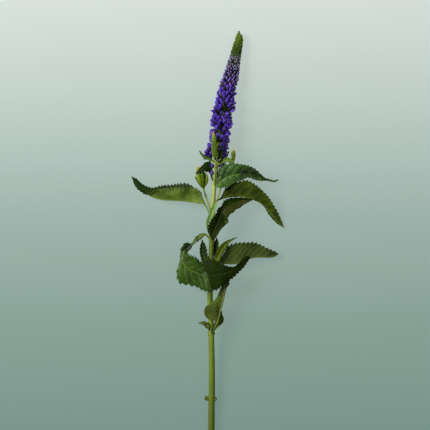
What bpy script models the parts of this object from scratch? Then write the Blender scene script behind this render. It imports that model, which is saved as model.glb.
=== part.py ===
"""Speedwell flower spike, cut and laid down on a flat surface.

The surface is z = 0 and +Z points up, away from it. +Y runs along the stem, from the cut foot
to the tip of the flowers, and +X to the right of it, seen from above. The origin lies on the
surface, under the middle of the whole spray. All sizes and places below are in millimetres.
"""

import math
import random

import bmesh
import bpy
from mathutils import Vector

MM = 0.001

# The stem: centre line and radius at each point, from the cut foot to the lowest florets
STEM_ROUTE = (
    (2.4, -143.4, 2.6), (2.6, -127.0, 4.3), (2.9, -98.0, 6.8), (2.4, -68.5, 9.0),
    (1.6, -46.0, 10.5), (2.2, -20.0, 11.8), (2.8, -3.0, 12.4), (3.4, 15.0, 12.7),
    (3.9, 25.0, 12.7), (4.6, 34.0, 12.3), (5.7, 43.0, 11.6), (6.6, 53.4, 10.6),
)
STEM_RADII = (2.3, 2.25, 2.15, 2.0, 1.95, 1.85, 1.8, 1.65, 1.5, 1.45, 1.3, 1.15)
STEM_SIDES = 10
STEM_RINGS = 34
FOOT_SLANT = 0.35          # how far the cut foot leans from square, as rise over run
JOINT_GAP = 0.3            # clearance round the stem where a leaf or a side spike meets it

# Leaf scars and a dormant bud on the stem: root, outer end, root radius, end radius
STEM_STUBS = (
    ((2.2, -115.4, 5.4), (-1.9, -114.2, 5.9), 1.7, 1.0),
    ((3.2, -115.6, 5.4), (6.1, -114.9, 5.7), 1.5, 0.8),
    ((2.6, -68.9, 8.9), (4.8, -69.0, 10.3), 0.8, 0.45),
)
STUB_SIDES = 6
STUB_PLACES = (0, 0.6, 1)

# Leaves
BLADE_THICKNESS = 0.7
PETIOLE_WIDTH = 1.3
PETIOLE_THICKNESS = 1.2
NARROW_ROW = 4.0           # width below which a row's points turn the same way
THICK_ROWS = 3             # rows over which the stalk's thickness fades into the blade's
TIP_THICKNESS = 0.42
TOOTH_DEPTH = 0.9
TOOTH_WIDTH_SHARE = 0.25   # the most that a tooth takes of the blade's width beside it
TOOTH_PITCH = 3.5
SMALL_TOOTH_PITCH = 2.45
SMALL_LEAF_EDGE = 15.0     # length of edge below which a leaf has the small teeth
TOOTH_LEAN = 0.3           # share of the pitch by which a tooth's point leans to the tip
FEWEST_TEETH = 3
FEWEST_ROWS = 5
EDGE_STEPS = 40            # steps by which an edge is measured
LEFT_EDGE = -1             # seen from the upper side, with the tip pointing away
BOTH_EDGES = (LEFT_EDGE, 1)

# The main spike: its centre line, and the radius of its outline at each point
SPIKE_ROUTE = (
    (6.7, 54.0, 10.4), (6.4, 60.0, 9.9), (7.9, 66.7, 9.3), (8.8, 73.7, 8.9), (9.8, 80.7, 8.2),
    (11.3, 87.7, 7.6), (12.5, 94.7, 7.0), (13.6, 101.7, 6.5), (15.5, 108.7, 6.1),
    (17.2, 115.7, 5.6), (18.8, 122.7, 5.1), (20.3, 129.7, 4.7), (21.8, 136.7, 4.4),
    (21.9, 143.2, 4.2),
)
SPIKE_RADII = (6.9, 7.5, 7.3, 8.0, 7.5, 7.3, 6.6, 6.0, 5.6, 4.9, 4.0, 3.6, 2.7, 0.4)
VIOLET_END = 9.85          # where the violet florets stop, counted in points of the route
GREEN_START = 9.92         # where the green buds begin
GREEN_SIDES = 12
GREEN_RINGS = 13
CORE_SHARE = 0.52          # radius of the core under the florets, as a share of the outline
CORE_SIDES = 10
CORE_RINGS = 12
OPEN_FLORETS = 78
CLOSED_FLORETS = 28
FLORET_START = 0.25        # the first and the last floret, counted in points of the route
FLORET_END = 9.4
OPEN_RISE = 24.0           # degrees by which the first open floret leans ahead from square
OPEN_RISE_GROWTH = 24.0    # and what is added to it up to the last floret
CLOSED_RISE = 56.0
GOLDEN_ANGLE = math.radians(137.508)
FLORET_SEED = 7
TURN_JITTER = 0.2          # in radians
OPEN_LENGTHS = (0.86, 1.0)     # shortest and longest, as shares of the room under the outline
CLOSED_LENGTHS = (0.75, 0.9)
RIM_START = 0.3            # from here on a floret rests on the surface where it would go below,
RIM_END = 1.05             # lower the nearer a point lies to its rim
PETAL_REACH = 2.5
PETAL_NOTCH = 1.15
NOTCH_DROP = 0.7           # how far the notches between the petals lie below their tips
PETAL_THICKNESS = 0.6
THROAT_DEPTH = 1.1
FLORET_ROOT_RADIUS = 0.8
FLORET_ROOT_DEPTH = 0.9    # how far a floret's root is sunk in the core
BUD_SIDES = 5
BUD_ROOT_RADIUS = 0.6
BUD_RADIUS = 1.15
BUD_WIDEST = 0.6           # where a closed floret is widest, as a share of its length
SIDE_SPIKE_CLEAR_HEIGHT = 17.6   # florets under the front side spike stay below this
SIDE_SPIKE_CLEAR_LENGTH = 76.0   # and it lies over them up to here

# Side spikes. The buds of a head stand out and in by this share of its radius
BUD_RELIEF = 0.17
END_RELIEF = 0.8           # share of the radius at the two ends of the green tip
STALK_RINGS = 7

SHORTEST = 1e-6            # lengths below this count as nothing
FINE_STEPS = 200           # steps by which curves are measured


def vectors(points):
    return [Vector(point) for point in points]


def curve_slope(points, k):
    """Direction of the smooth curve at its point k, for steps of equal speed."""
    rises = []
    for a in (k - 1, k):
        if 0 <= a < len(points) - 1:
            span = max((points[a + 1] - points[a]).length, SHORTEST)
            rises.append(((points[a + 1] - points[a]) / span, span))
    if len(rises) == 1:
        return rises[0][0]
    (before, before_span), (after, after_span) = rises
    return (before * after_span + after * before_span) / (before_span + after_span)


def curve_point(points, u):
    """Point on a smooth curve through the points, with u counting them from 0."""
    i = min(int(u), len(points) - 2)
    t = u - i
    start, end = points[i], points[i + 1]
    span = max((end - start).length, SHORTEST)
    square, cube = t * t, t * t * t
    return (start * (2 * cube - 3 * square + 1) + end * (3 * square - 2 * cube)
            + curve_slope(points, i) * (span * (cube - 2 * square + t))
            + curve_slope(points, i + 1) * (span * (cube - square)))


def curve_number(values, u):
    """Value read between listed ones, with u counting them from 0."""
    i = min(int(u), len(values) - 2)
    return values[i] + (values[i + 1] - values[i]) * (u - i)


def even_places(curves, start, end, count):
    """Places from start to end, counted in points, evenly spaced along the curves' mean length."""
    marks = [start + (end - start) * k / FINE_STEPS for k in range(FINE_STEPS + 1)]
    lengths = [0.0]
    for a, b in zip(marks, marks[1:]):
        step = sum((curve_point(c, b) - curve_point(c, a)).length for c in curves)
        lengths.append(lengths[-1] + step)
    places = []
    k = 0
    for n in range(count + 1):
        wanted = lengths[-1] * n / count
        while k < FINE_STEPS - 1 and lengths[k + 1] < wanted:
            k += 1
        share = (wanted - lengths[k]) / max(lengths[k + 1] - lengths[k], SHORTEST)
        places.append(marks[k] + (marks[k + 1] - marks[k]) * min(share, 1.0))
    return places


def material(name, colour, roughness):
    """Principled material with one base colour."""
    finish = bpy.data.materials.new(name)
    finish.use_nodes = True
    shader = finish.node_tree.nodes["Principled BSDF"]
    shader.inputs["Base Color"].default_value = (*colour, 1.0)
    shader.inputs["Roughness"].default_value = roughness
    shader.inputs["Metallic"].default_value = 0.0
    finish.diffuse_color = (*colour, 1.0)
    return finish


def mesh_object(name, points, faces, finish, collection=None):
    """Object made from points in millimetres and faces, with its faces turned outwards."""
    bm = bmesh.new()
    verts = [bm.verts.new(Vector(point) * MM) for point in points]
    for face in faces:
        bm.faces.new([verts[k] for k in face])
    bmesh.ops.recalc_face_normals(bm, faces=bm.faces)
    mesh = bpy.data.meshes.new(name)
    bm.to_mesh(mesh)
    bm.free()
    mesh.materials.append(finish)
    made = bpy.data.objects.new(name, mesh)
    (collection or bpy.context.scene.collection).objects.link(made)
    return made


def tube_frame(route, u):
    """Place on a route with two directions square to it, the first one level."""
    here = curve_point(route, u)
    ahead = curve_point(route, min(u + 0.05, len(route) - 1)) - curve_point(route, max(u - 0.05, 0))
    ahead.normalize()
    side = ahead.cross(Vector((0, 0, 1))).normalized()
    up = side.cross(ahead).normalized()
    return here, side, up, ahead


def tube_mesh(route, radii, sides, places, relief=None, slant=0.0):
    """Points and faces of a closed tube; relief(ring, side) scales each point's radius."""
    points, faces = [], []
    for ring, u in enumerate(places):
        here, side, up, ahead = tube_frame(route, u)
        radius = curve_number(radii, u)
        for k in range(sides):
            angle = 2 * math.pi * k / sides
            reach = radius * (relief(ring, k) if relief else 1.0)
            point = here + side * (reach * math.cos(angle)) + up * (reach * math.sin(angle))
            if ring == 0:
                point = point + ahead * (slant * reach * math.cos(angle))
            points.append(point)
    for ring in range(len(places) - 1):
        for k in range(sides):
            a, b = ring * sides + k, ring * sides + (k + 1) % sides
            faces.append((a, b, b + sides, a + sides))
    foot = len(points)
    points.append(sum((Vector(p) for p in points[:sides]), Vector()) / sides)
    crown = len(points)
    last = (len(places) - 1) * sides
    points.append(curve_point(route, places[-1]) + tube_frame(route, places[-1])[3] * 0.1)
    for k in range(sides):
        faces.append((foot, (k + 1) % sides, k))
        faces.append((crown, last + k, last + (k + 1) % sides))
    return points, faces


def join_collection(base, collection):
    """Fuses every object of the collection into the base and removes them."""
    fuse = base.modifiers.new("fuse", "BOOLEAN")
    fuse.operation = "UNION"
    fuse.operand_type = "COLLECTION"
    fuse.collection = collection
    fuse.solver = "MANIFOLD"
    bpy.context.view_layer.update()
    fused = base.evaluated_get(bpy.context.evaluated_depsgraph_get())
    shape = bpy.data.meshes.new_from_object(fused)
    base.modifiers.remove(fuse)
    base.data = shape
    for piece in list(collection.objects):
        bpy.data.objects.remove(piece, do_unlink=True)
    bpy.data.collections.remove(collection)


def new_collection(name):
    collection = bpy.data.collections.new(name)
    bpy.context.scene.collection.children.link(collection)
    return collection


def stem():
    """Stem with its leaf scars, and the wider shape that leaves and side spikes are cut by."""
    route = vectors(STEM_ROUTE)
    places = even_places([route], 0, len(route) - 1, STEM_RINGS)
    points, faces = tube_mesh(route, STEM_RADII, STEM_SIDES, places, slant=FOOT_SLANT)
    body = mesh_object("stem", points, faces, STEM_GREEN)
    stubs = new_collection("stubs")
    for number, (root, end, root_radius, end_radius) in enumerate(STEM_STUBS):
        line = vectors((root, end))
        points, faces = tube_mesh(line, (root_radius, end_radius), STUB_SIDES, STUB_PLACES)
        mesh_object(f"stub_{number}", points, faces, STEM_GREEN, stubs)
    join_collection(body, stubs)

    wide_radii = [radius + JOINT_GAP for radius in STEM_RADII]
    points, faces = tube_mesh(route, wide_radii, STEM_SIDES, places)
    cutter = mesh_object("stem_clearance", points, faces, STEM_GREEN)
    cutter.hide_render = True
    cutter.display_type = "WIRE"
    return cutter


def cut_by_stem(piece, cutter):
    cut = piece.modifiers.new("clear of the stem", "BOOLEAN")
    cut.operation = "DIFFERENCE"
    cut.object = cutter


def leaf_rails(petiole, rows, tip):
    """Curves that run from the leaf's foot to its tip: one for each point of a row."""
    count = len(rows[0])
    across = (Vector(rows[0][-1]) - Vector(rows[0][0])).normalized()
    rails = [[] for _ in range(count)]
    for point in vectors(petiole):
        for k in range(count):
            share = k / (count - 1) - 0.5
            rails[k].append(point + across * (share * PETIOLE_WIDTH))
    for row in rows:
        for k in range(count):
            rails[k].append(Vector(row[k]))
    for rail in rails:
        rail.append(Vector(tip))
    return rails


def leaf_grid(rails, places, foot_end, teeth):
    """Rows of points on the rails, with teeth at every second row of the edges that have them."""
    last = len(rails[0]) - 1
    grid = []
    for number, u in enumerate(places[:-1]):
        row = [curve_point(rail, u) for rail in rails]
        for side in teeth if number > foot_end else ():
            edge, inner = (0, 1) if side < 0 else (len(row) - 1, len(row) - 2)
            across = row[edge] - row[inner]
            step = across.normalized() * (min(TOOTH_DEPTH, across.length * TOOTH_WIDTH_SHARE) / 2)
            if (number - foot_end) % 2:
                lean = (places[number + 1] - u) * TOOTH_LEAN * 2
                row[edge] = curve_point(rails[edge], min(u + lean, last)) + step
            else:
                row[edge] = row[edge] - step
        fine = []
        for before, after in zip(row, row[1:]):
            fine += [before, (before + after) / 2]
        grid.append(fine + [row[-1]])
    return grid


def grid_normals(grid):
    """Directions square to a leaf's upper side, more alike where the leaf is narrow."""
    wide = len(grid[0])
    normals = []
    for i, row in enumerate(grid):
        ahead_row, behind_row = grid[min(i + 1, len(grid) - 1)], grid[max(i - 1, 0)]
        line = []
        for k in range(wide):
            across = row[min(k + 1, wide - 1)] - row[max(k - 1, 0)]
            line.append(across.cross(ahead_row[k] - behind_row[k]).normalized())
        mean = sum(line, Vector()).normalized()
        share = min((row[-1] - row[0]).length / NARROW_ROW, 1.0)
        normals.append([mean.lerp(normal, share).normalized() for normal in line])
    return normals


def leaf(name, finish, petiole, rows, tip, teeth=BOTH_EDGES):
    """Leaf through rows of points across the blade, from its stalk to its tip, in one solid.

    A row goes from the edge that lies left of the midrib, seen from the upper side with the tip
    pointing away, to the right edge.
    """
    rails = leaf_rails(petiole, rows, tip)
    foot_end = len(petiole)
    last = len(rails[0]) - 1
    span = last - foot_end
    edge = [curve_point(rails[0], foot_end + span * k / EDGE_STEPS) for k in range(EDGE_STEPS + 1)]
    edge_length = sum((b - a).length for a, b in zip(edge, edge[1:]))
    pitch = TOOTH_PITCH if edge_length > SMALL_LEAF_EDGE else SMALL_TOOTH_PITCH
    count = round(edge_length / pitch)
    stations = 2 * max(FEWEST_TEETH, count) if teeth else max(FEWEST_ROWS, count)
    places = [float(k) for k in range(foot_end)] + even_places(rails, foot_end, last, stations)
    grid = leaf_grid(rails, places, foot_end, teeth)
    normals = grid_normals(grid)
    rows_made, wide = len(grid), len(grid[0])

    points = []
    for face_side in (0.5, -0.5):
        for i in range(rows_made):
            stalk = max(0.0, 1.0 - max(0, i - foot_end + 1) / THICK_ROWS)
            thick = BLADE_THICKNESS + (PETIOLE_THICKNESS - BLADE_THICKNESS) * stalk
            for k in range(wide):
                point = grid[i][k] + normals[i][k] * (thick * face_side)
                lowest = 0.0 if face_side * normals[i][k].z < 0 else BLADE_THICKNESS
                point.z = max(point.z, lowest)
                points.append(point)
    half = rows_made * wide
    tips = []
    for face_side in (0.5, -0.5):
        tips.append(len(points))
        points.append(Vector(tip) + normals[-1][wide // 2] * (TIP_THICKNESS * face_side))

    faces = []
    for i in range(rows_made - 1):
        for k in range(wide - 1):
            a, b = i * wide + k, i * wide + k + 1
            c, d = a + wide, b + wide
            if (points[a] - points[d]).length < (points[b] - points[c]).length:
                split = ((a, b, d), (a, d, c))
            else:
                split = ((a, b, c), (b, d, c))
            for triangle in split:
                faces.append(triangle)
                faces.append(tuple(p + half for p in reversed(triangle)))
    end_row = (rows_made - 1) * wide
    for k in range(wide - 1):
        a, b = end_row + k, end_row + k + 1
        faces.append((a, b, tips[0]))
        faces.append((b + half, a + half, tips[1]))
        faces.append((k + 1, k, k + half, k + 1 + half))
    for k in (0, wide - 1):
        for i in range(rows_made - 1):
            a, b = i * wide + k, (i + 1) * wide + k
            faces.append((a, b, b + half, a + half))
        a = end_row + k
        faces.append((a, tips[0], tips[1], a + half))
    return mesh_object(name, points, faces, finish)


def bud_spike(name, finish, route, radii, head_start, sides, rings):
    """Side spike: a plain stalk, then a head of buds made as relief on its surface."""
    line = vectors(route)
    last = len(line) - 1
    stalk_places = even_places([line], 0, head_start, STALK_RINGS)[:-1]
    head_places = even_places([line], head_start, last, rings)

    def relief(ring, k):
        row = ring - len(stalk_places)
        if row < 1 or row > rings - 2:
            return 1.0
        return 1.0 + BUD_RELIEF * (1 if (row + k) % 2 else -1)

    points, faces = tube_mesh(line, radii, sides, stalk_places + head_places, relief)
    return mesh_object(name, points, faces, finish)


def placed(points, here, side, up, ahead):
    return [here + side * p[0] + up * p[1] + ahead * p[2] for p in points]


def round_point(radius, angle, level):
    return radius * math.cos(angle), radius * math.sin(angle), level


def open_floret(length, turn):
    """Four spread petals on a short tube, standing along +Z: points and faces."""
    points = []
    for k in range(4):
        angle = turn + math.pi / 2 * k + math.pi / 4
        points.append(round_point(FLORET_ROOT_RADIUS, angle, 0.0))
    for level in (length - PETAL_THICKNESS, length):
        for k in range(8):
            reach, drop = (PETAL_NOTCH, NOTCH_DROP) if k % 2 else (PETAL_REACH, 0.0)
            points.append(round_point(reach, turn + math.pi / 4 * k, level - drop))
    points.append((0.0, 0.0, length - THROAT_DEPTH))
    throat = len(points) - 1
    faces = [(3, 2, 1, 0)]
    for k in range(4):
        left_tip, notch, right_tip = 4 + 2 * k, 5 + 2 * k, 4 + (2 * k + 2) % 8
        faces += [(notch, left_tip, k), (right_tip, notch, k), ((k + 1) % 4, right_tip, k)]
    for k in range(8):
        a, b = 4 + k, 4 + (k + 1) % 8
        faces.append((a, b, b + 8, a + 8))
        faces.append((a + 8, b + 8, throat))
    return points, faces


def closed_floret(length):
    """Slim pointed bud standing along +Z: points and faces."""
    points = []
    for radius, level in ((BUD_ROOT_RADIUS, 0.0), (BUD_RADIUS, length * BUD_WIDEST)):
        points += [round_point(radius, 2 * math.pi * k / BUD_SIDES, level) for k in range(BUD_SIDES)]
    points.append((0.0, 0.0, length))
    faces = [tuple(reversed(range(BUD_SIDES)))]
    for k in range(BUD_SIDES):
        after = (k + 1) % BUD_SIDES
        faces.append((k, after, after + BUD_SIDES, k + BUD_SIDES))
        faces.append((k + BUD_SIDES, after + BUD_SIDES, 2 * BUD_SIDES))
    return points, faces


def florets():
    """The violet florets, fused with the core that they stand on."""
    route = vectors(SPIKE_ROUTE)
    core_radii = [radius * CORE_SHARE for radius in SPIKE_RADII]
    places = even_places([route], 0, VIOLET_END, CORE_RINGS)
    points, faces = tube_mesh(route, core_radii, CORE_SIDES, places)
    body = mesh_object("violet_florets", points, faces, VIOLET)
    crowd = new_collection("florets")
    draw = random.Random(FLORET_SEED)
    total = OPEN_FLORETS + CLOSED_FLORETS
    spots = even_places([route], FLORET_START, FLORET_END, total)
    for number in range(total):
        u = spots[number]
        here, side, up, ahead = tube_frame(route, u)
        outline = curve_number(SPIKE_RADII, u)
        angle = GOLDEN_ANGLE * number + draw.uniform(-TURN_JITTER, TURN_JITTER)
        is_open = number < OPEN_FLORETS
        rise = math.radians(OPEN_RISE + OPEN_RISE_GROWTH * number / total if is_open else CLOSED_RISE)
        radial = side * math.cos(angle) + up * math.sin(angle)
        out = (radial * math.cos(rise) + ahead * math.sin(rise)).normalized()
        level = out.cross(ahead).normalized()
        other = out.cross(level).normalized()
        root = here + radial * (outline * CORE_SHARE - FLORET_ROOT_DEPTH * math.cos(rise))
        reach = (outline - outline * CORE_SHARE) / math.cos(rise) + FLORET_ROOT_DEPTH
        if is_open:
            shape, faces = open_floret(reach * draw.uniform(*OPEN_LENGTHS), draw.uniform(0, math.pi / 2))
        else:
            shape, faces = closed_floret(reach * draw.uniform(*CLOSED_LENGTHS))
        points = placed(shape, root, level, other, out)
        for k, point in enumerate(points):
            rim_level = shape[k][2] / max(reach, 1.0)
            if rim_level > RIM_START:
                point.z = max(point.z, PETAL_THICKNESS * 2 * (RIM_END - rim_level))
            if point.y < SIDE_SPIKE_CLEAR_LENGTH:
                point.z = min(point.z, SIDE_SPIKE_CLEAR_HEIGHT)
        mesh_object(f"floret_{number}", points, faces, VIOLET, crowd)
    join_collection(body, crowd)


def green_tip():
    """The green buds that close the main spike, as relief on its tapering tip."""
    route = vectors(SPIKE_ROUTE)
    places = even_places([route], GREEN_START, len(route) - 1, GREEN_RINGS)

    def relief(ring, k):
        if ring == 0 or ring > GREEN_RINGS - 2:
            return END_RELIEF
        return 1.0 + BUD_RELIEF * (1 if (ring + k) % 2 else -1)

    points, faces = tube_mesh(route, SPIKE_RADII, GREEN_SIDES, places, relief)
    mesh_object("green_tip_buds", points, faces, BUD_GREEN)


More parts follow.
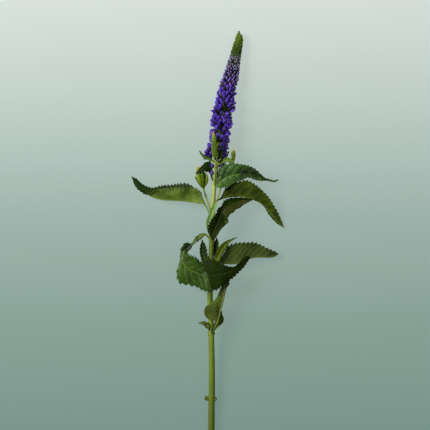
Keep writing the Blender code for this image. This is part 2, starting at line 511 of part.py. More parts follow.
# Leaves: stalk points, rows across the blade and tip
LEAVES = {
    "left_leaf": dict(
        petiole=((3.2, 13.2, 12.6), (0.9, 16.9, 11.5), (-0.8, 20.5, 11.8)),
        rows=(
            ((-3.3, 25.6, 14.6), (-3.6, 23.0, 12.3), (-4.0, 26.4, 11.4)),
            ((-4.8, 30.6, 17.2), (-7.2, 23.4, 12.0), (-7.8, 31.6, 10.6)),
            ((-9.2, 33.1, 17.8), (-12.4, 24.2, 11.2), (-13.2, 35.9, 9.6)),
            ((-15.9, 33.0, 16.8), (-19.4, 24.9, 9.8), (-19.8, 36.2, 7.8)),
            ((-24.0, 33.2, 15.0), (-26.4, 25.2, 8.2), (-26.4, 35.3, 5.6)),
            ((-32.0, 32.4, 12.8), (-33.4, 25.8, 6.6), (-33.4, 34.8, 3.6)),
            ((-38.6, 30.6, 10.2), (-39.6, 27.8, 5.2), (-39.6, 33.4, 1.9)),
            ((-43.5, 28.6, 7.4), (-43.9, 31.0, 3.8), (-43.7, 34.8, 0.9)),
            ((-47.6, 30.9, 5.0), (-47.6, 33.8, 2.8), (-47.4, 37.0, 0.3)),
            ((-51.0, 34.2, 3.2), (-50.9, 36.9, 2.0), (-50.4, 39.8, 0.5)),
        ),
        tip=(-53.7, 41.5, 1.2),
    ),
    "right_upper_leaf": dict(
        petiole=((5.0, 33.4, 12.4), (5.7, 33.9, 13.8)),
        rows=(
            ((5.4, 35.2, 14.6), (5.7, 34.5, 14.3), (5.9, 33.5, 14.5)),
            ((6.4, 39.7, 15.0), (8.1, 36.6, 14.4), (8.2, 33.1, 14.2)),
            ((7.2, 45.0, 15.2), (10.7, 39.0, 14.3), (11.1, 33.2, 14.4)),
            ((9.6, 48.4, 15.6), (14.2, 41.0, 14.4), (14.2, 33.6, 14.2)),
            ((15.6, 50.1, 16.5), (19.1, 42.3, 14.4), (18.4, 36.3, 14.2)),
            ((22.0, 49.8, 17.4), (24.5, 43.0, 14.2), (23.2, 38.0, 14.1)),
            ((27.2, 48.8, 17.4), (29.6, 42.5, 13.6), (28.0, 40.2, 13.7)),
            ((32.4, 46.7, 16.2), (33.6, 41.6, 12.6), (33.6, 38.5, 12.7)),
            ((36.8, 43.2, 14.0), (37.2, 40.3, 11.6), (37.6, 38.0, 11.6)),
            ((40.2, 40.1, 11.8), (40.6, 39.2, 10.8), (40.8, 38.2, 11.1)),
            ((44.2, 39.0, 10.5), (44.2, 38.3, 10.2), (44.2, 37.6, 10.4)),
            ((47.0, 38.4, 10.1), (47.1, 37.8, 9.9), (47.2, 37.2, 10.0)),
        ),
        tip=(49.6, 38.9, 10.0),
    ),
    "right_arching_leaf": dict(
        petiole=((3.9, 23.6, 12.7), (6.4, 24.6, 12.2), (8.6, 25.6, 11.9)),
        rows=(
            ((10.4, 29.2, 10.2), (11.0, 26.4, 11.8), (11.4, 27.8, 12.6)),
            ((12.4, 33.2, 8.2), (15.0, 27.5, 11.4), (15.0, 30.8, 12.8)),
            ((16.6, 36.2, 6.8), (19.4, 27.9, 11.1), (17.8, 34.6, 12.8)),
            ((22.0, 37.4, 5.8), (24.0, 27.7, 10.6), (22.6, 37.3, 12.7)),
            ((27.2, 36.6, 5.2), (28.6, 26.7, 9.8), (27.2, 38.6, 12.4)),
            ((32.0, 31.8, 4.2), (33.4, 25.0, 8.7), (32.4, 36.0, 11.6)),
            ((36.2, 24.6, 3.8), (37.6, 22.7, 7.6), (37.6, 31.9, 12.0)),
            ((40.0, 19.6, 3.4), (41.4, 19.3, 6.2), (42.2, 27.4, 9.8)),
            ((43.4, 14.2, 2.6), (45.0, 15.2, 4.8), (45.8, 22.0, 7.6)),
            ((47.0, 9.8, 1.8), (48.6, 10.6, 3.2), (49.4, 15.8, 4.8)),
            ((50.4, 7.0, 1.2), (51.2, 7.9, 1.9), (52.0, 10.2, 2.5)),
        ),
        tip=(53.7, 5.4, 1.3),
    ),
    "right_back_leaf": dict(
        petiole=((2.9, -4.6, 12.4), (3.2, -3.4, 14.4)),
        rows=(
            ((2.0, -1.6, 15.4), (3.4, -2.0, 15.2), (4.8, -2.1, 15.3), (5.8, -1.8, 15.6)),
            ((0.5, 1.3, 16.4), (3.6, 0.8, 15.6), (5.8, 0.5, 15.6), (7.1, 0.6, 16.1)),
            ((-0.2, 4.4, 16.9), (4.4, 3.9, 15.4), (7.2, 3.6, 15.4), (8.8, 3.7, 16.2)),
            ((0.6, 7.3, 17.1), (5.8, 7.0, 14.8), (9.4, 6.5, 14.9), (11.4, 6.4, 16.2)),
            ((2.4, 10.4, 16.9), (7.2, 10.2, 14.2), (12.4, 9.5, 14.4), (14.4, 9.6, 16.4)),
            ((4.5, 13.1, 16.3), (8.2, 13.4, 13.4), (13.6, 12.0, 13.9), (12.4, 13.0, 16.6)),
            ((6.1, 15.9, 15.2), (9.0, 16.4, 12.6), (15.0, 13.6, 13.5), (10.8, 15.6, 16.6)),
            ((6.9, 18.5, 13.6), (9.9, 19.0, 11.8), (17.7, 15.9, 12.8), (12.0, 18.4, 16.0)),
            ((9.6, 20.6, 12.0), (12.4, 21.4, 10.9), (20.9, 18.3, 12.1), (15.2, 20.9, 15.0)),
            ((11.0, 23.7, 10.4), (15.6, 23.4, 9.9), (24.0, 20.5, 11.4), (19.2, 23.1, 14.0)),
            ((15.0, 25.9, 9.3), (20.2, 24.7, 9.4), (27.2, 22.5, 10.9), (24.0, 24.2, 13.2)),
            ((23.0, 26.4, 9.2), (26.4, 25.1, 9.6), (29.4, 23.8, 10.4), (29.2, 24.4, 12.2)),
        ),
        tip=(32.7, 25.4, 10.8),
        teeth=(LEFT_EDGE,),
    ),
    "front_slim_leaf": dict(
        petiole=((2.9, -1.6, 12.5), (1.2, -0.2, 14.2)),
        rows=(
            ((0.1, 1.9, 15.0), (0.9, 1.6, 14.9), (1.9, 1.4, 15.1)),
            ((-0.8, 5.1, 15.2), (0.5, 5.2, 15.0), (2.4, 5.6, 15.3)),
            ((-1.2, 9.0, 15.3), (1.0, 9.6, 15.0), (3.5, 10.3, 15.4)),
            ((0.4, 13.8, 15.4), (2.3, 14.3, 15.0), (4.7, 14.6, 15.5)),
            ((2.3, 18.4, 15.5), (3.7, 18.7, 15.1), (5.5, 18.8, 15.6)),
            ((3.7, 21.6, 15.7), (4.8, 21.9, 15.4), (6.3, 22.0, 15.8)),
        ),
        tip=(5.9, 24.4, 15.9),
        teeth=(),
    ),
    "lower_left_leaf": dict(
        petiole=((2.8, -2.8, 12.4), (1.0, -2.1, 13.0)),
        rows=(
            ((-0.3, -1.5, 13.3), (-0.1, -0.8, 13.3), (0.2, -0.1, 13.5)),
            ((-2.1, -0.4, 13.5), (-2.2, 0.5, 13.8), (-2.5, 1.6, 13.5)),
            ((-4.2, -2.1, 13.2), (-4.4, -0.4, 14.0), (-5.3, 1.2, 13.2)),
            ((-6.5, -4.0, 13.0), (-7.2, -2.5, 13.8), (-8.4, -1.2, 13.0)),
            ((-8.9, -5.8, 12.9), (-9.3, -4.6, 13.4), (-9.9, -3.6, 12.9)),
            ((-10.9, -7.7, 12.7), (-11.4, -6.7, 13.0), (-12.1, -5.7, 13.0)),
            ((-11.9, -9.8, 12.6), (-13.2, -7.8, 12.6), (-14.1, -4.9, 13.8)),
            ((-13.6, -11.0, 12.4), (-16.2, -10.2, 12.6), (-18.4, -8.2, 13.6)),
            ((-14.0, -12.6, 12.8), (-17.6, -13.2, 13.6), (-19.2, -12.4, 12.8)),
            ((-13.2, -13.6, 13.2), (-18.0, -17.2, 14.4), (-20.0, -19.0, 12.6)),
            ((-11.2, -14.2, 13.6), (-16.0, -21.4, 14.4), (-21.8, -26.6, 12.6)),
            ((-8.6, -15.4, 13.4), (-12.4, -24.3, 14.2), (-20.0, -33.2, 12.4)),
            ((-5.6, -17.8, 12.3), (-7.8, -26.3, 13.8), (-13.4, -34.8, 12.4)),
            ((-2.6, -20.4, 12.6), (-4.2, -28.0, 13.4), (-8.0, -36.0, 12.8)),
            ((0.0, -24.8, 13.3), (-1.0, -30.6, 13.9), (-3.6, -38.4, 13.2)),
            ((1.4, -30.2, 14.1), (0.8, -34.0, 14.4), (-0.2, -39.4, 13.9)),
        ),
        tip=(3.0, -38.0, 14.2),
    ),
    "front_dark_leaf": dict(
        petiole=((2.2, -20.8, 11.8), (2.6, -23.4, 13.1), (1.7, -26.3, 14.5)),
        rows=(
            ((-1.9, -22.6, 15.6), (0.4, -27.0, 16.0), (1.3, -31.2, 15.6)),
            ((-3.6, -18.8, 17.4), (0.3, -27.6, 18.2), (1.7, -35.9, 17.4)),
            ((-0.6, -17.4, 18.0), (4.0, -27.5, 19.0), (4.6, -38.5, 18.0)),
            ((6.2, -17.9, 18.7), (9.4, -27.0, 19.6), (9.4, -36.0, 18.6)),
            ((11.6, -20.4, 19.8), (15.6, -25.0, 19.8), (15.4, -31.4, 18.6)),
            ((17.4, -22.2, 20.8), (20.6, -22.2, 19.8), (20.6, -26.9, 18.4)),
            ((22.4, -18.4, 20.6), (25.2, -19.0, 19.2), (24.8, -22.6, 18.0)),
            ((27.0, -14.6, 19.2), (28.4, -16.4, 18.4), (28.4, -17.8, 17.8)),
        ),
        tip=(30.4, -15.2, 17.8),
    ),
    "lower_right_leaf": dict(
        petiole=((2.3, -19.2, 11.9), (5.0, -19.2, 10.8)),
        rows=(
            ((8.0, -16.8, 8.8), (7.8, -18.9, 10.4), (8.4, -17.4, 12.0)),
            ((11.4, -12.6, 6.4), (11.8, -19.1, 10.0), (11.0, -13.8, 13.2)),
            ((15.4, -8.8, 4.2), (16.6, -19.4, 9.6), (14.2, -7.6, 14.4)),
            ((20.4, -7.0, 2.6), (21.4, -18.8, 9.3), (19.6, -5.4, 14.6)),
            ((26.0, -6.6, 1.5), (26.6, -16.6, 8.9), (25.6, -5.2, 14.2)),
            ((31.2, -7.4, 0.8), (31.8, -15.2, 8.3), (31.2, -4.9, 12.8)),
            ((36.2, -9.0, 0.3), (37.2, -14.9, 7.3), (36.8, -6.6, 10.8)),
            ((41.0, -11.2, 0.3), (42.4, -15.1, 5.9), (42.0, -9.2, 8.4)),
            ((45.6, -13.0, 1.4), (46.6, -14.7, 4.6), (46.6, -11.2, 5.8)),
        ),
        tip=(49.5, -12.8, 3.6),
    ),
    "small_left_leaf": dict(
        petiole=((2.3, -19.6, 12.0), (1.0, -18.6, 13.4)),
        rows=(
            ((-3.5, -18.9, 13.4), (-1.2, -18.3, 13.5), (1.0, -16.9, 14.3)),
            ((-4.9, -15.6, 13.6), (-2.8, -14.8, 13.5), (0.0, -13.7, 14.3)),
            ((-5.6, -11.6, 13.9), (-3.6, -10.9, 13.6), (-0.6, -10.2, 14.4)),
            ((-5.4, -7.9, 14.3), (-3.7, -7.4, 14.0), (-1.6, -6.7, 14.6)),
        ),
        tip=(-3.9, -3.2, 14.9),
    ),
    "small_dark_leaf": dict(
        petiole=((2.5, -17.2, 12.1), (4.7, -16.6, 11.6)),
        rows=(
            ((4.4, -15.5, 9.7), (5.4, -15.6, 10.6), (6.4, -15.4, 11.4)),
            ((4.1, -10.3, 9.6), (5.6, -10.3, 10.8), (7.1, -9.8, 12.0)),
            ((4.4, -5.4, 10.2), (6.0, -5.4, 11.3), (7.5, -5.0, 12.3)),
        ),
        tip=(6.2, -1.6, 12.6),
        teeth=(),
    ),
    "small_light_leaf": dict(
        petiole=((2.4, -19.6, 12.0), (4.2, -19.4, 14.0)),
        rows=(
            ((4.7, -17.9, 14.9), (6.1, -18.2, 14.6), (7.5, -18.0, 14.9)),
            ((5.1, -14.1, 15.6), (7.3, -15.1, 15.1), (9.0, -15.5, 15.6)),
            ((6.9, -9.3, 16.0), (9.2, -11.3, 15.5), (11.3, -11.9, 16.0)),
            ((10.1, -5.7, 16.4), (11.7, -7.7, 15.9), (13.4, -8.2, 16.4)),
            ((13.4, -3.6, 16.7), (14.2, -4.7, 16.4), (15.4, -5.0, 16.7)),
            ((16.8, -2.5, 16.9), (17.1, -3.0, 16.7), (17.5, -3.4, 16.9)),
        ),
        tip=(20.2, -1.5, 16.9),
        teeth=(),
    ),
    "base_leaf": dict(
        petiole=((2.6, -70.0, 9.0), (3.2, -68.6, 11.4)),
        rows=(
            ((2.2, -66.6, 12.3), (3.8, -66.6, 12.1), (5.2, -66.4, 11.9)),
            ((4.0, -62.6, 12.7), (5.6, -62.6, 12.5), (6.9, -62.0, 12.5)),
            ((4.8, -59.8, 13.0), (7.1, -59.2, 12.8), (8.1, -58.6, 12.9)),
            ((1.4, -59.1, 13.3), (7.8, -56.6, 13.1), (8.5, -56.1, 13.3)),
            ((-1.5, -57.0, 13.6), (8.4, -53.8, 13.5), (9.2, -53.4, 13.7)),
            ((-2.5, -53.4, 13.9), (9.0, -51.0, 13.9), (9.9, -50.6, 14.2)),
            ((-1.4, -49.9, 14.2), (9.5, -48.4, 14.4), (10.6, -48.0, 14.8)),
            ((2.0, -47.6, 14.6), (10.0, -45.8, 14.8), (11.3, -45.4, 15.2)),
            ((4.9, -45.0, 15.0), (10.6, -43.0, 15.1), (12.0, -42.4, 15.4)),
            ((6.9, -41.8, 15.4), (11.3, -40.0, 15.4), (12.6, -39.2, 15.5)),
            ((8.4, -38.4, 15.7), (12.1, -37.2, 15.5), (13.4, -36.6, 15.4)),
            ((9.9, -35.4, 15.8), (13.0, -34.7, 15.4), (15.2, -34.0, 15.2)),
        ),
        tip=(14.6, -31.5, 14.8),
        teeth=(),
    ),
    "base_small_leaf_left": dict(
        petiole=((2.3, -67.8, 9.2), (1.5, -66.6, 11.2)),
        rows=(
            ((0.9, -66.0, 11.9), (1.0, -64.4, 11.8), (1.5, -62.5, 12.1)),
            ((-0.9, -65.1, 12.3), (-1.0, -63.1, 11.8), (-0.5, -60.9, 12.6)),
            ((-2.9, -63.0, 12.4), (-3.0, -61.8, 12.0), (-2.9, -60.2, 12.7)),
            ((-4.7, -62.2, 12.3), (-4.7, -61.6, 12.1), (-4.7, -60.8, 12.5)),
        ),
        tip=(-6.5, -61.5, 12.2),
        teeth=(),
    ),
    "base_small_leaf_right": dict(
        petiole=((2.9, -68.6, 9.0), (5.0, -66.2, 8.8)),
        rows=(
            ((5.8, -64.1, 9.2), (6.8, -64.1, 8.9), (8.1, -63.7, 9.3)),
            ((7.0, -60.9, 9.6), (8.7, -61.0, 9.1), (10.7, -61.0, 9.8)),
            ((8.2, -57.8, 9.9), (9.4, -58.1, 9.5), (11.4, -58.6, 10.1)),
            ((8.9, -55.5, 10.1), (9.4, -55.7, 9.9), (10.3, -56.0, 10.2)),
        ),
        tip=(9.8, -53.4, 10.3),
        teeth=(),
    ),
    "left_toothed_leaf": dict(
        petiole=((4.9, 38.6, 12.0), (3.4, 38.8, 12.6)),
        rows=(
            ((2.8, 39.4, 12.8), (3.0, 40.1, 12.6), (3.3, 40.8, 12.9)),
            ((1.6, 42.9, 13.2), (2.4, 43.7, 12.8), (3.4, 45.1, 13.1)),
            ((0.5, 44.1, 14.2), (1.4, 46.5, 13.6), (3.1, 49.2, 13.6)),
            ((-1.0, 44.3, 15.6), (-0.2, 48.2, 14.9), (1.4, 51.8, 14.6)),
            ((-3.0, 44.4, 16.5), (-2.5, 47.8, 16.0), (-1.6, 51.0, 15.6)),
            ((-4.9, 43.9, 16.7), (-4.8, 46.0, 16.3), (-4.5, 48.3, 16.2)),
            ((-6.6, 43.4, 16.6), (-6.8, 44.3, 16.4), (-6.8, 45.3, 16.4)),
        ),
        tip=(-8.7, 43.1, 16.2),
    ),
    "left_bract": dict(
        petiole=((6.2, 50.6, 11.0), (4.8, 51.0, 12.9)),
        rows=(
            ((3.0, 51.6, 13.2), (3.2, 52.2, 13.0), (3.5, 52.8, 13.3)),
            ((1.0, 52.7, 13.5), (1.3, 53.4, 13.2), (1.6, 54.1, 13.6)),
            ((-1.9, 53.2, 13.8), (-1.4, 54.2, 13.4), (-1.0, 55.1, 13.9)),
            ((-4.0, 55.2, 13.8), (-3.5, 55.9, 13.5), (-3.0, 56.6, 13.9)),
        ),
        tip=(-5.9, 59.1, 13.8),
        teeth=(),
    ),
    "right_bract": dict(
        petiole=((6.5, 51.4, 10.8), (8.2, 51.6, 8.4)),
        rows=(
            ((9.6, 54.2, 5.8), (10.4, 53.3, 5.5), (11.3, 52.2, 5.8)),
            ((12.2, 56.4, 4.6), (12.9, 55.8, 4.3), (13.7, 54.9, 4.6)),
        ),
        tip=(15.0, 59.0, 4.2),
        teeth=(),
    ),
    "curled_bract": dict(
        petiole=((6.3, 49.6, 11.1), (7.8, 49.8, 13.4)),
        rows=(
            ((8.8, 50.9, 15.2), (9.4, 50.2, 14.9), (9.9, 49.6, 15.2)),
            ((10.5, 53.0, 17.2), (11.2, 51.9, 16.9), (11.8, 50.8, 17.2)),
            ((13.1, 54.3, 18.5), (13.4, 52.6, 18.2), (13.5, 50.9, 18.5)),
            ((15.8, 53.6, 19.0), (15.5, 52.1, 18.7), (15.2, 50.7, 19.0)),
            ((17.6, 52.2, 19.1), (17.0, 51.3, 18.9), (16.4, 50.3, 19.1)),
        ),
        tip=(18.9, 49.9, 19.0),
        teeth=(),
    ),
    "front_bract": dict(
        petiole=((6.6, 51.8, 10.8), (6.8, 52.4, 14.0), (7.3, 53.0, 17.2)),
        rows=(
            ((7.1, 54.5, 18.8), (8.3, 54.5, 18.4), (9.7, 54.8, 18.8)),
            ((8.0, 57.9, 19.4), (9.1, 58.0, 19.0), (10.5, 58.3, 19.4)),
        ),
        tip=(9.9, 61.6, 19.5),
        teeth=(),
    ),
}

# Side spikes in bud: centre line with radii, and the point where the head begins
SIDE_SPIKES = {
    "front_side_spike": dict(
        route=((4.6, 33.6, 12.4), (4.7, 36.6, 14.4), (4.9, 41.0, 15.8), (5.3, 47.0, 17.6),
               (5.3, 52.7, 19.6), (4.9, 55.2, 20.3), (4.8, 58.4, 20.8), (4.6, 62.0, 21.4),
               (4.4, 66.5, 21.9), (4.2, 70.0, 22.2), (4.0, 72.6, 22.4)),
        radii=(0.75, 0.75, 0.8, 0.8, 0.85, 1.6, 2.2, 1.95, 1.6, 1.1, 0.25),
        head_start=4, sides=10, rings=12,
    ),
    "right_side_spike": dict(
        route=((3.8, 21.6, 12.7), (5.9, 23.6, 14.4), (7.2, 26.8, 14.4), (8.6, 31.5, 12.6),
               (10.6, 37.6, 11.2), (13.6, 43.4, 11.2), (16.6, 48.8, 12.0), (17.5, 51.2, 12.4),
               (17.8, 53.6, 12.7), (17.9, 56.0, 13.0), (17.9, 58.4, 13.2), (17.9, 59.6, 13.3),
               (17.9, 61.2, 13.4)),
        radii=(0.6, 0.6, 0.6, 0.6, 0.6, 0.6, 0.7, 0.95, 1.45, 1.6, 1.15, 0.3, 0.15),
        head_start=6, sides=8, rings=9,
    ),
    "left_side_spike": dict(
        route=((3.3, 15.6, 12.7), (1.5, 18.2, 13.6), (0.2, 22.4, 13.2), (-1.4, 27.6, 12.4),
               (-2.8, 32.4, 11.8), (-3.2, 34.4, 11.8), (-3.8, 37.4, 11.9), (-4.3, 40.6, 12.0),
               (-5.2, 43.8, 12.2), (-6.6, 46.4, 12.4), (-7.8, 48.6, 12.6)),
        radii=(0.6, 0.6, 0.6, 0.6, 0.7, 1.5, 2.9, 3.4, 2.5, 1.3, 0.25),
        head_start=4, sides=10, rings=11,
    ),
}

for old in list(bpy.data.objects):
    bpy.data.objects.remove(old, do_unlink=True)

STEM_GREEN = material("stem green", (0.19, 0.25, 0.05), 0.5)
LEAF_GREEN = material("leaf green", (0.05, 0.09, 0.02), 0.45)
LIGHT_GREEN = material("light leaf green", (0.16, 0.27, 0.07), 0.45)
BUD_GREEN = material("bud green", (0.14, 0.24, 0.02), 0.55)
VIOLET = material("violet petals", (0.07, 0.03, 0.28), 0.6)

LIGHT_LEAVES = ("front_slim_leaf", "small_light_leaf", "curled_bract")

clearance = stem()
for leaf_name, shape in LEAVES.items():
    leaf_finish = LIGHT_GREEN if leaf_name in LIGHT_LEAVES else LEAF_GREEN
    cut_by_stem(leaf(leaf_name, leaf_finish, **shape), clearance)
for spike_name, shape in SIDE_SPIKES.items():
    cut_by_stem(bud_spike(spike_name, BUD_GREEN, **shape), clearance)
florets()
green_tip()
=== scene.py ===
"""Speedwell flower spike: fine leaves, stem, florets and buds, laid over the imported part.

Routes, rows and radii are in millimetres, in the part's own frame: z = 0 is the surface that the
cut stem lies on, +Y runs from the foot to the tip of the flowers and +X to the right of it, seen
from above. Pieces are built in metres from them.
"""

import math
import random

import bpy
import numpy as np
from bpy.props import FloatProperty, FloatVectorProperty, IntProperty, PointerProperty
from mathutils import Matrix, Vector


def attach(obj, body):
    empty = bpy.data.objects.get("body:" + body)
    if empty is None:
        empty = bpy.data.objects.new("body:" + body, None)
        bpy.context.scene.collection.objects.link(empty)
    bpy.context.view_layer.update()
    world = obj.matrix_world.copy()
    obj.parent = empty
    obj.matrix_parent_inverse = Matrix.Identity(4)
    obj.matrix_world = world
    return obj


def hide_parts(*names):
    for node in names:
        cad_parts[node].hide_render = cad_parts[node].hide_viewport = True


bl_info = {
    "name": "Speedwell flower spike",
    "version": (1, 0, 0),
    "blender": (4, 5, 0),
    "location": "View3D > Sidebar > Speedwell",
    "description": "Builds the leaves, stem, florets and buds of a cut speedwell spike",
    "category": "Add Mesh",
}

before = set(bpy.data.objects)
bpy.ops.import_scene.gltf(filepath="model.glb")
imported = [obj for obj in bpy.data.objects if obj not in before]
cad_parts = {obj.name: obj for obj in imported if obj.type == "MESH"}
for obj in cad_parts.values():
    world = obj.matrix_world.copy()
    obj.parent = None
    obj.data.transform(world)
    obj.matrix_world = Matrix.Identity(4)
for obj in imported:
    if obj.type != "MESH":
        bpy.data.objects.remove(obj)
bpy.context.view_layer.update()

MM = 0.001

# Camera, lamps and floor, in metres, but the camera's sensor in millimetres
VIEW_CENTRE = (0.005075, 0.014175)
VIEW_WIDTH = 0.301
CAMERA_HEIGHT = 1.612
FOCUS_DISTANCE = 1.6       # down to the plane in which the view has its width
SENSOR_WIDTH = 36.0
KEY_SIZE = 0.7
FILL_SIZE = 1.2
FLOOR_SIZE = 6.0
FLOOR_NEAR_Y = -0.1365
FLOOR_FAR_Y = 0.1645
FLOOR_DARKENING = 0.8      # how much of the lamps' light the floor swallows

# The stem: centre line and radius at each point, from the cut foot to the lowest florets
STEM_ROUTE = (
    (2.4, -143.4, 2.6), (2.6, -127.0, 4.3), (2.9, -98.0, 6.8), (2.4, -68.5, 9.0),
    (1.6, -46.0, 10.5), (2.2, -20.0, 11.8), (2.8, -3.0, 12.4), (3.4, 15.0, 12.7),
    (3.9, 25.0, 12.7), (4.6, 34.0, 12.3), (5.7, 43.0, 11.6), (6.6, 53.4, 10.6),
)
STEM_RADII = (2.3, 2.25, 2.15, 2.0, 1.95, 1.85, 1.8, 1.65, 1.5, 1.45, 1.3, 1.15)
STEM_SIDES = 28
STEM_RINGS = 260
STEM_JOINTS = (-115.0, -68.0, -20.3, -2.4, 14.6, 23.2, 34.0, 46.0, 51.0)
JOINT_LENGTH = 1.9
JOINT_SWELL = 0.13         # how much wider the stem is at a joint, as a share of its radius
FOOT_SLANT = 0.35          # how far the cut foot leans ahead, as a share of the radius
CUT_SHARES = (0.0, 0.5, 0.86)      # rings of the cut face, as shares of the radius

# Scars of old leaf stalks and a dormant bud: root, end and the radius at each; then the places of a
# stub's rings along it, and their sizes, from 0 for the end's radius to 1 for the root's
STEM_STUBS = (
    ((2.2, -115.4, 5.4), (-1.9, -114.2, 5.9), 1.7, 1.0),
    ((3.2, -115.6, 5.4), (6.1, -114.9, 5.7), 1.5, 0.8),
    ((2.6, -68.9, 8.9), (4.8, -69.0, 10.3), 0.8, 0.45),
)
STUB_SIDES = 14
STUB_PLACES = (0.0, 0.45, 0.75, 0.9, 1.0, 1.0, 0.97)
STUB_SIZES = (1.0, 0.72, 0.55, 0.6, 0.62, 0.45, 0.2)

# Where the stem's colour changes to the middle colour, to the painted shade that the leaves cast on it, and
# to the top colour, along Y in metres
STEM_MIDDLE_FADE = (-0.145, -0.06)
STEM_SHADE_FADE = (-0.048, -0.042)
STEM_TOP_FADE = (-0.006, 0.03)

# The main spike: its centre line, and the radius of its outline at each point
SPIKE_ROUTE = (
    (6.7, 54.0, 10.4), (6.4, 60.0, 9.9), (7.9, 66.7, 9.3), (8.8, 73.7, 8.9), (9.8, 80.7, 8.2),
    (11.3, 87.7, 7.6), (12.5, 94.7, 7.0), (13.6, 101.7, 6.5), (15.5, 108.7, 6.1),
    (17.2, 115.7, 5.6), (18.8, 122.7, 5.1), (20.3, 129.7, 4.7), (21.8, 136.7, 4.4),
    (21.9, 143.2, 4.2),
)
SPIKE_RADII = (6.9, 7.5, 7.3, 8.0, 7.5, 7.3, 6.6, 6.0, 5.6, 4.9, 4.0, 3.6, 2.7, 0.4)

# The florets' spacing and rise from square, and the radius of the spike's axis, at each point
SPIKE_SPACING = (3.4, 3.4, 3.3, 3.2, 3.1, 3.0, 2.8, 2.55, 2.15, 1.75, 1.4, 1.2, 1.0, 0.85)
SPIKE_RISE = (12, 20, 26, 32, 36, 44, 50, 52, 52, 50, 48, 50, 62, 84)
AXIS_RADII = (1.6, 1.6, 1.55, 1.5, 1.45, 1.4, 1.3, 1.25, 1.2, 1.15, 1.1, 1.1, 1.0, 0.15)

# Radius and length of the closed buds, as shares of the spacing, at each point
BUD_STOUTNESS = (0.42, 0.42, 0.43, 0.42, 0.39, 0.32, 0.29, 0.28, 0.27, 0.27, 0.28, 0.3, 0.3, 0.3)
BUD_LENGTHS = (1.6, 1.6, 1.6, 1.6, 1.6, 1.6, 1.65, 1.75, 1.7, 1.6, 1.6, 1.6, 1.6, 1.6)

# Places along the spike, counted in points of its route
SPIKE_START = 0.3
SPIKE_TIP_GAP = 0.03
LOW_END = 1.0              # where the lowest florets end
OPEN_END = 4.6             # and where the opening florets end
GAP_START = 1.2            # the green axis shows between the florets from here
GAP_END = 4.8              # to here
MIXED_START = 8.7          # every second bud is still green from here
BUD_END = 9.6              # and every bud from here

# How the florets stand on the spike
GOLDEN_ANGLE = math.radians(137.508)
ANGLE_JITTER = 0.12        # in radians
RISE_JITTER = 16           # in degrees
BUD_RISE_JITTER = RISE_JITTER / 3
GAP_HEIGHT = 0.5           # in the gap, florets that point up by more than this
GAP_WIDTH = 0.1            # and aside by less than this are left out
ROOT_SHARE = 0.7           # where the stalks start, as a share of the axis's radius
COVERED_SHARE = 0.8        # how much of a spike's outline its florets or buds cover
LONGEST_SHARE = 0.8        # the most that a floret takes of its reach; its stalk takes the rest
STALK_RADIUS = 0.3
CALYX_SHARE = 0.27         # size of the calyces and radius of the green buds, as shares of the spacing
SCALE_SHARE = 0.5
LOW_TONE = 0.45            # the lowest florets have only the darker tones, up to this share
KIND_WEIGHTS = {"open": 0.3, "half_open": 1.0, "cupped": 2.5, "bud": 7.0}    # before OPEN_END
AXIS_SIDES = 16
AXIS_RINGS = 110
BED_SIDES = 24
BED_RINGS = 160
BED_DROP = 1.9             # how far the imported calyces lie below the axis
BED_SHARE = 0.42           # and their radius, as a share of the spike's outline
SPIKE_FLOOR = 0.05         # how near to the surface the florets may come
SIDE_SPIKE_CLEAR_LENGTH = 76.0     # under the front side spike, which ends at this Y,
SIDE_SPIKE_CLEAR_HEIGHT = 17.6     # they stay below this height

# Florets that stand away from the spike's foot: root, aim and kind
STRAY_FLORETS = (
    ((3.2, 56.6, 11.6), (-1.0, 0.5, 0.25), "open"),
    ((3.4, 53.6, 11.2), (-1.0, 0.55, 0.1), "half_open"),
    ((2.8, 54.8, 9.4), (-1.0, 0.25, -0.1), "open"),
    ((8.4, 56.0, 11.2), (1.0, 0.55, 0.2), "half_open"),
    ((8.4, 54.0, 10.2), (1.0, 0.5, 0.0), "cupped"),
    ((5.6, 46.8, 11.6), (-0.75, 0.6, 0.75), "bud"),
    ((5.4, 42.0, 12.0), (-0.7, 0.55, 0.8), "bud"),
    ((7.4, 48.4, 10.4), (1.0, 0.5, 0.0), "bud"),
    ((6.9, 50.4, 11.4), (0.9, -0.15, 0.4), "bud"),
    ((7.0, 51.6, 10.8), (1.0, -0.2, 0.1), "bud"),
    ((6.7, 48.4, 11.6), (0.8, 0.1, 0.5), "bud"),
    ((4.6, 56.0, 10.2), (-0.7, -0.1, 0.3), "bud"),
    ((4.4, 59.0, 10.6), (-0.8, 0.2, 0.4), "half_open"),
)
STRAY_REACH = 5.2
STRAY_AGE = 0.05

# Petals: the net of a lobe with its quarter of the tube, and the sizes of a full floret
TUBE_ROWS = 3
LOBE_ROWS = 6
LOBE_COLUMNS = 4
TUBE_RADIUS = 0.45
TUBE_LENGTH = 1.7
LOBE_LENGTH = 2.6
LOBE_WIDTH = 2.5
LOBE_BREADTHS = (1.0, 1.12, 1.0, 0.82)
PETAL_THICKNESS = 0.16
FLORET_LENGTHS = {"open": 3.4, "half_open": 4.1, "cupped": 4.2}
STAMEN_LEAN = 0.18

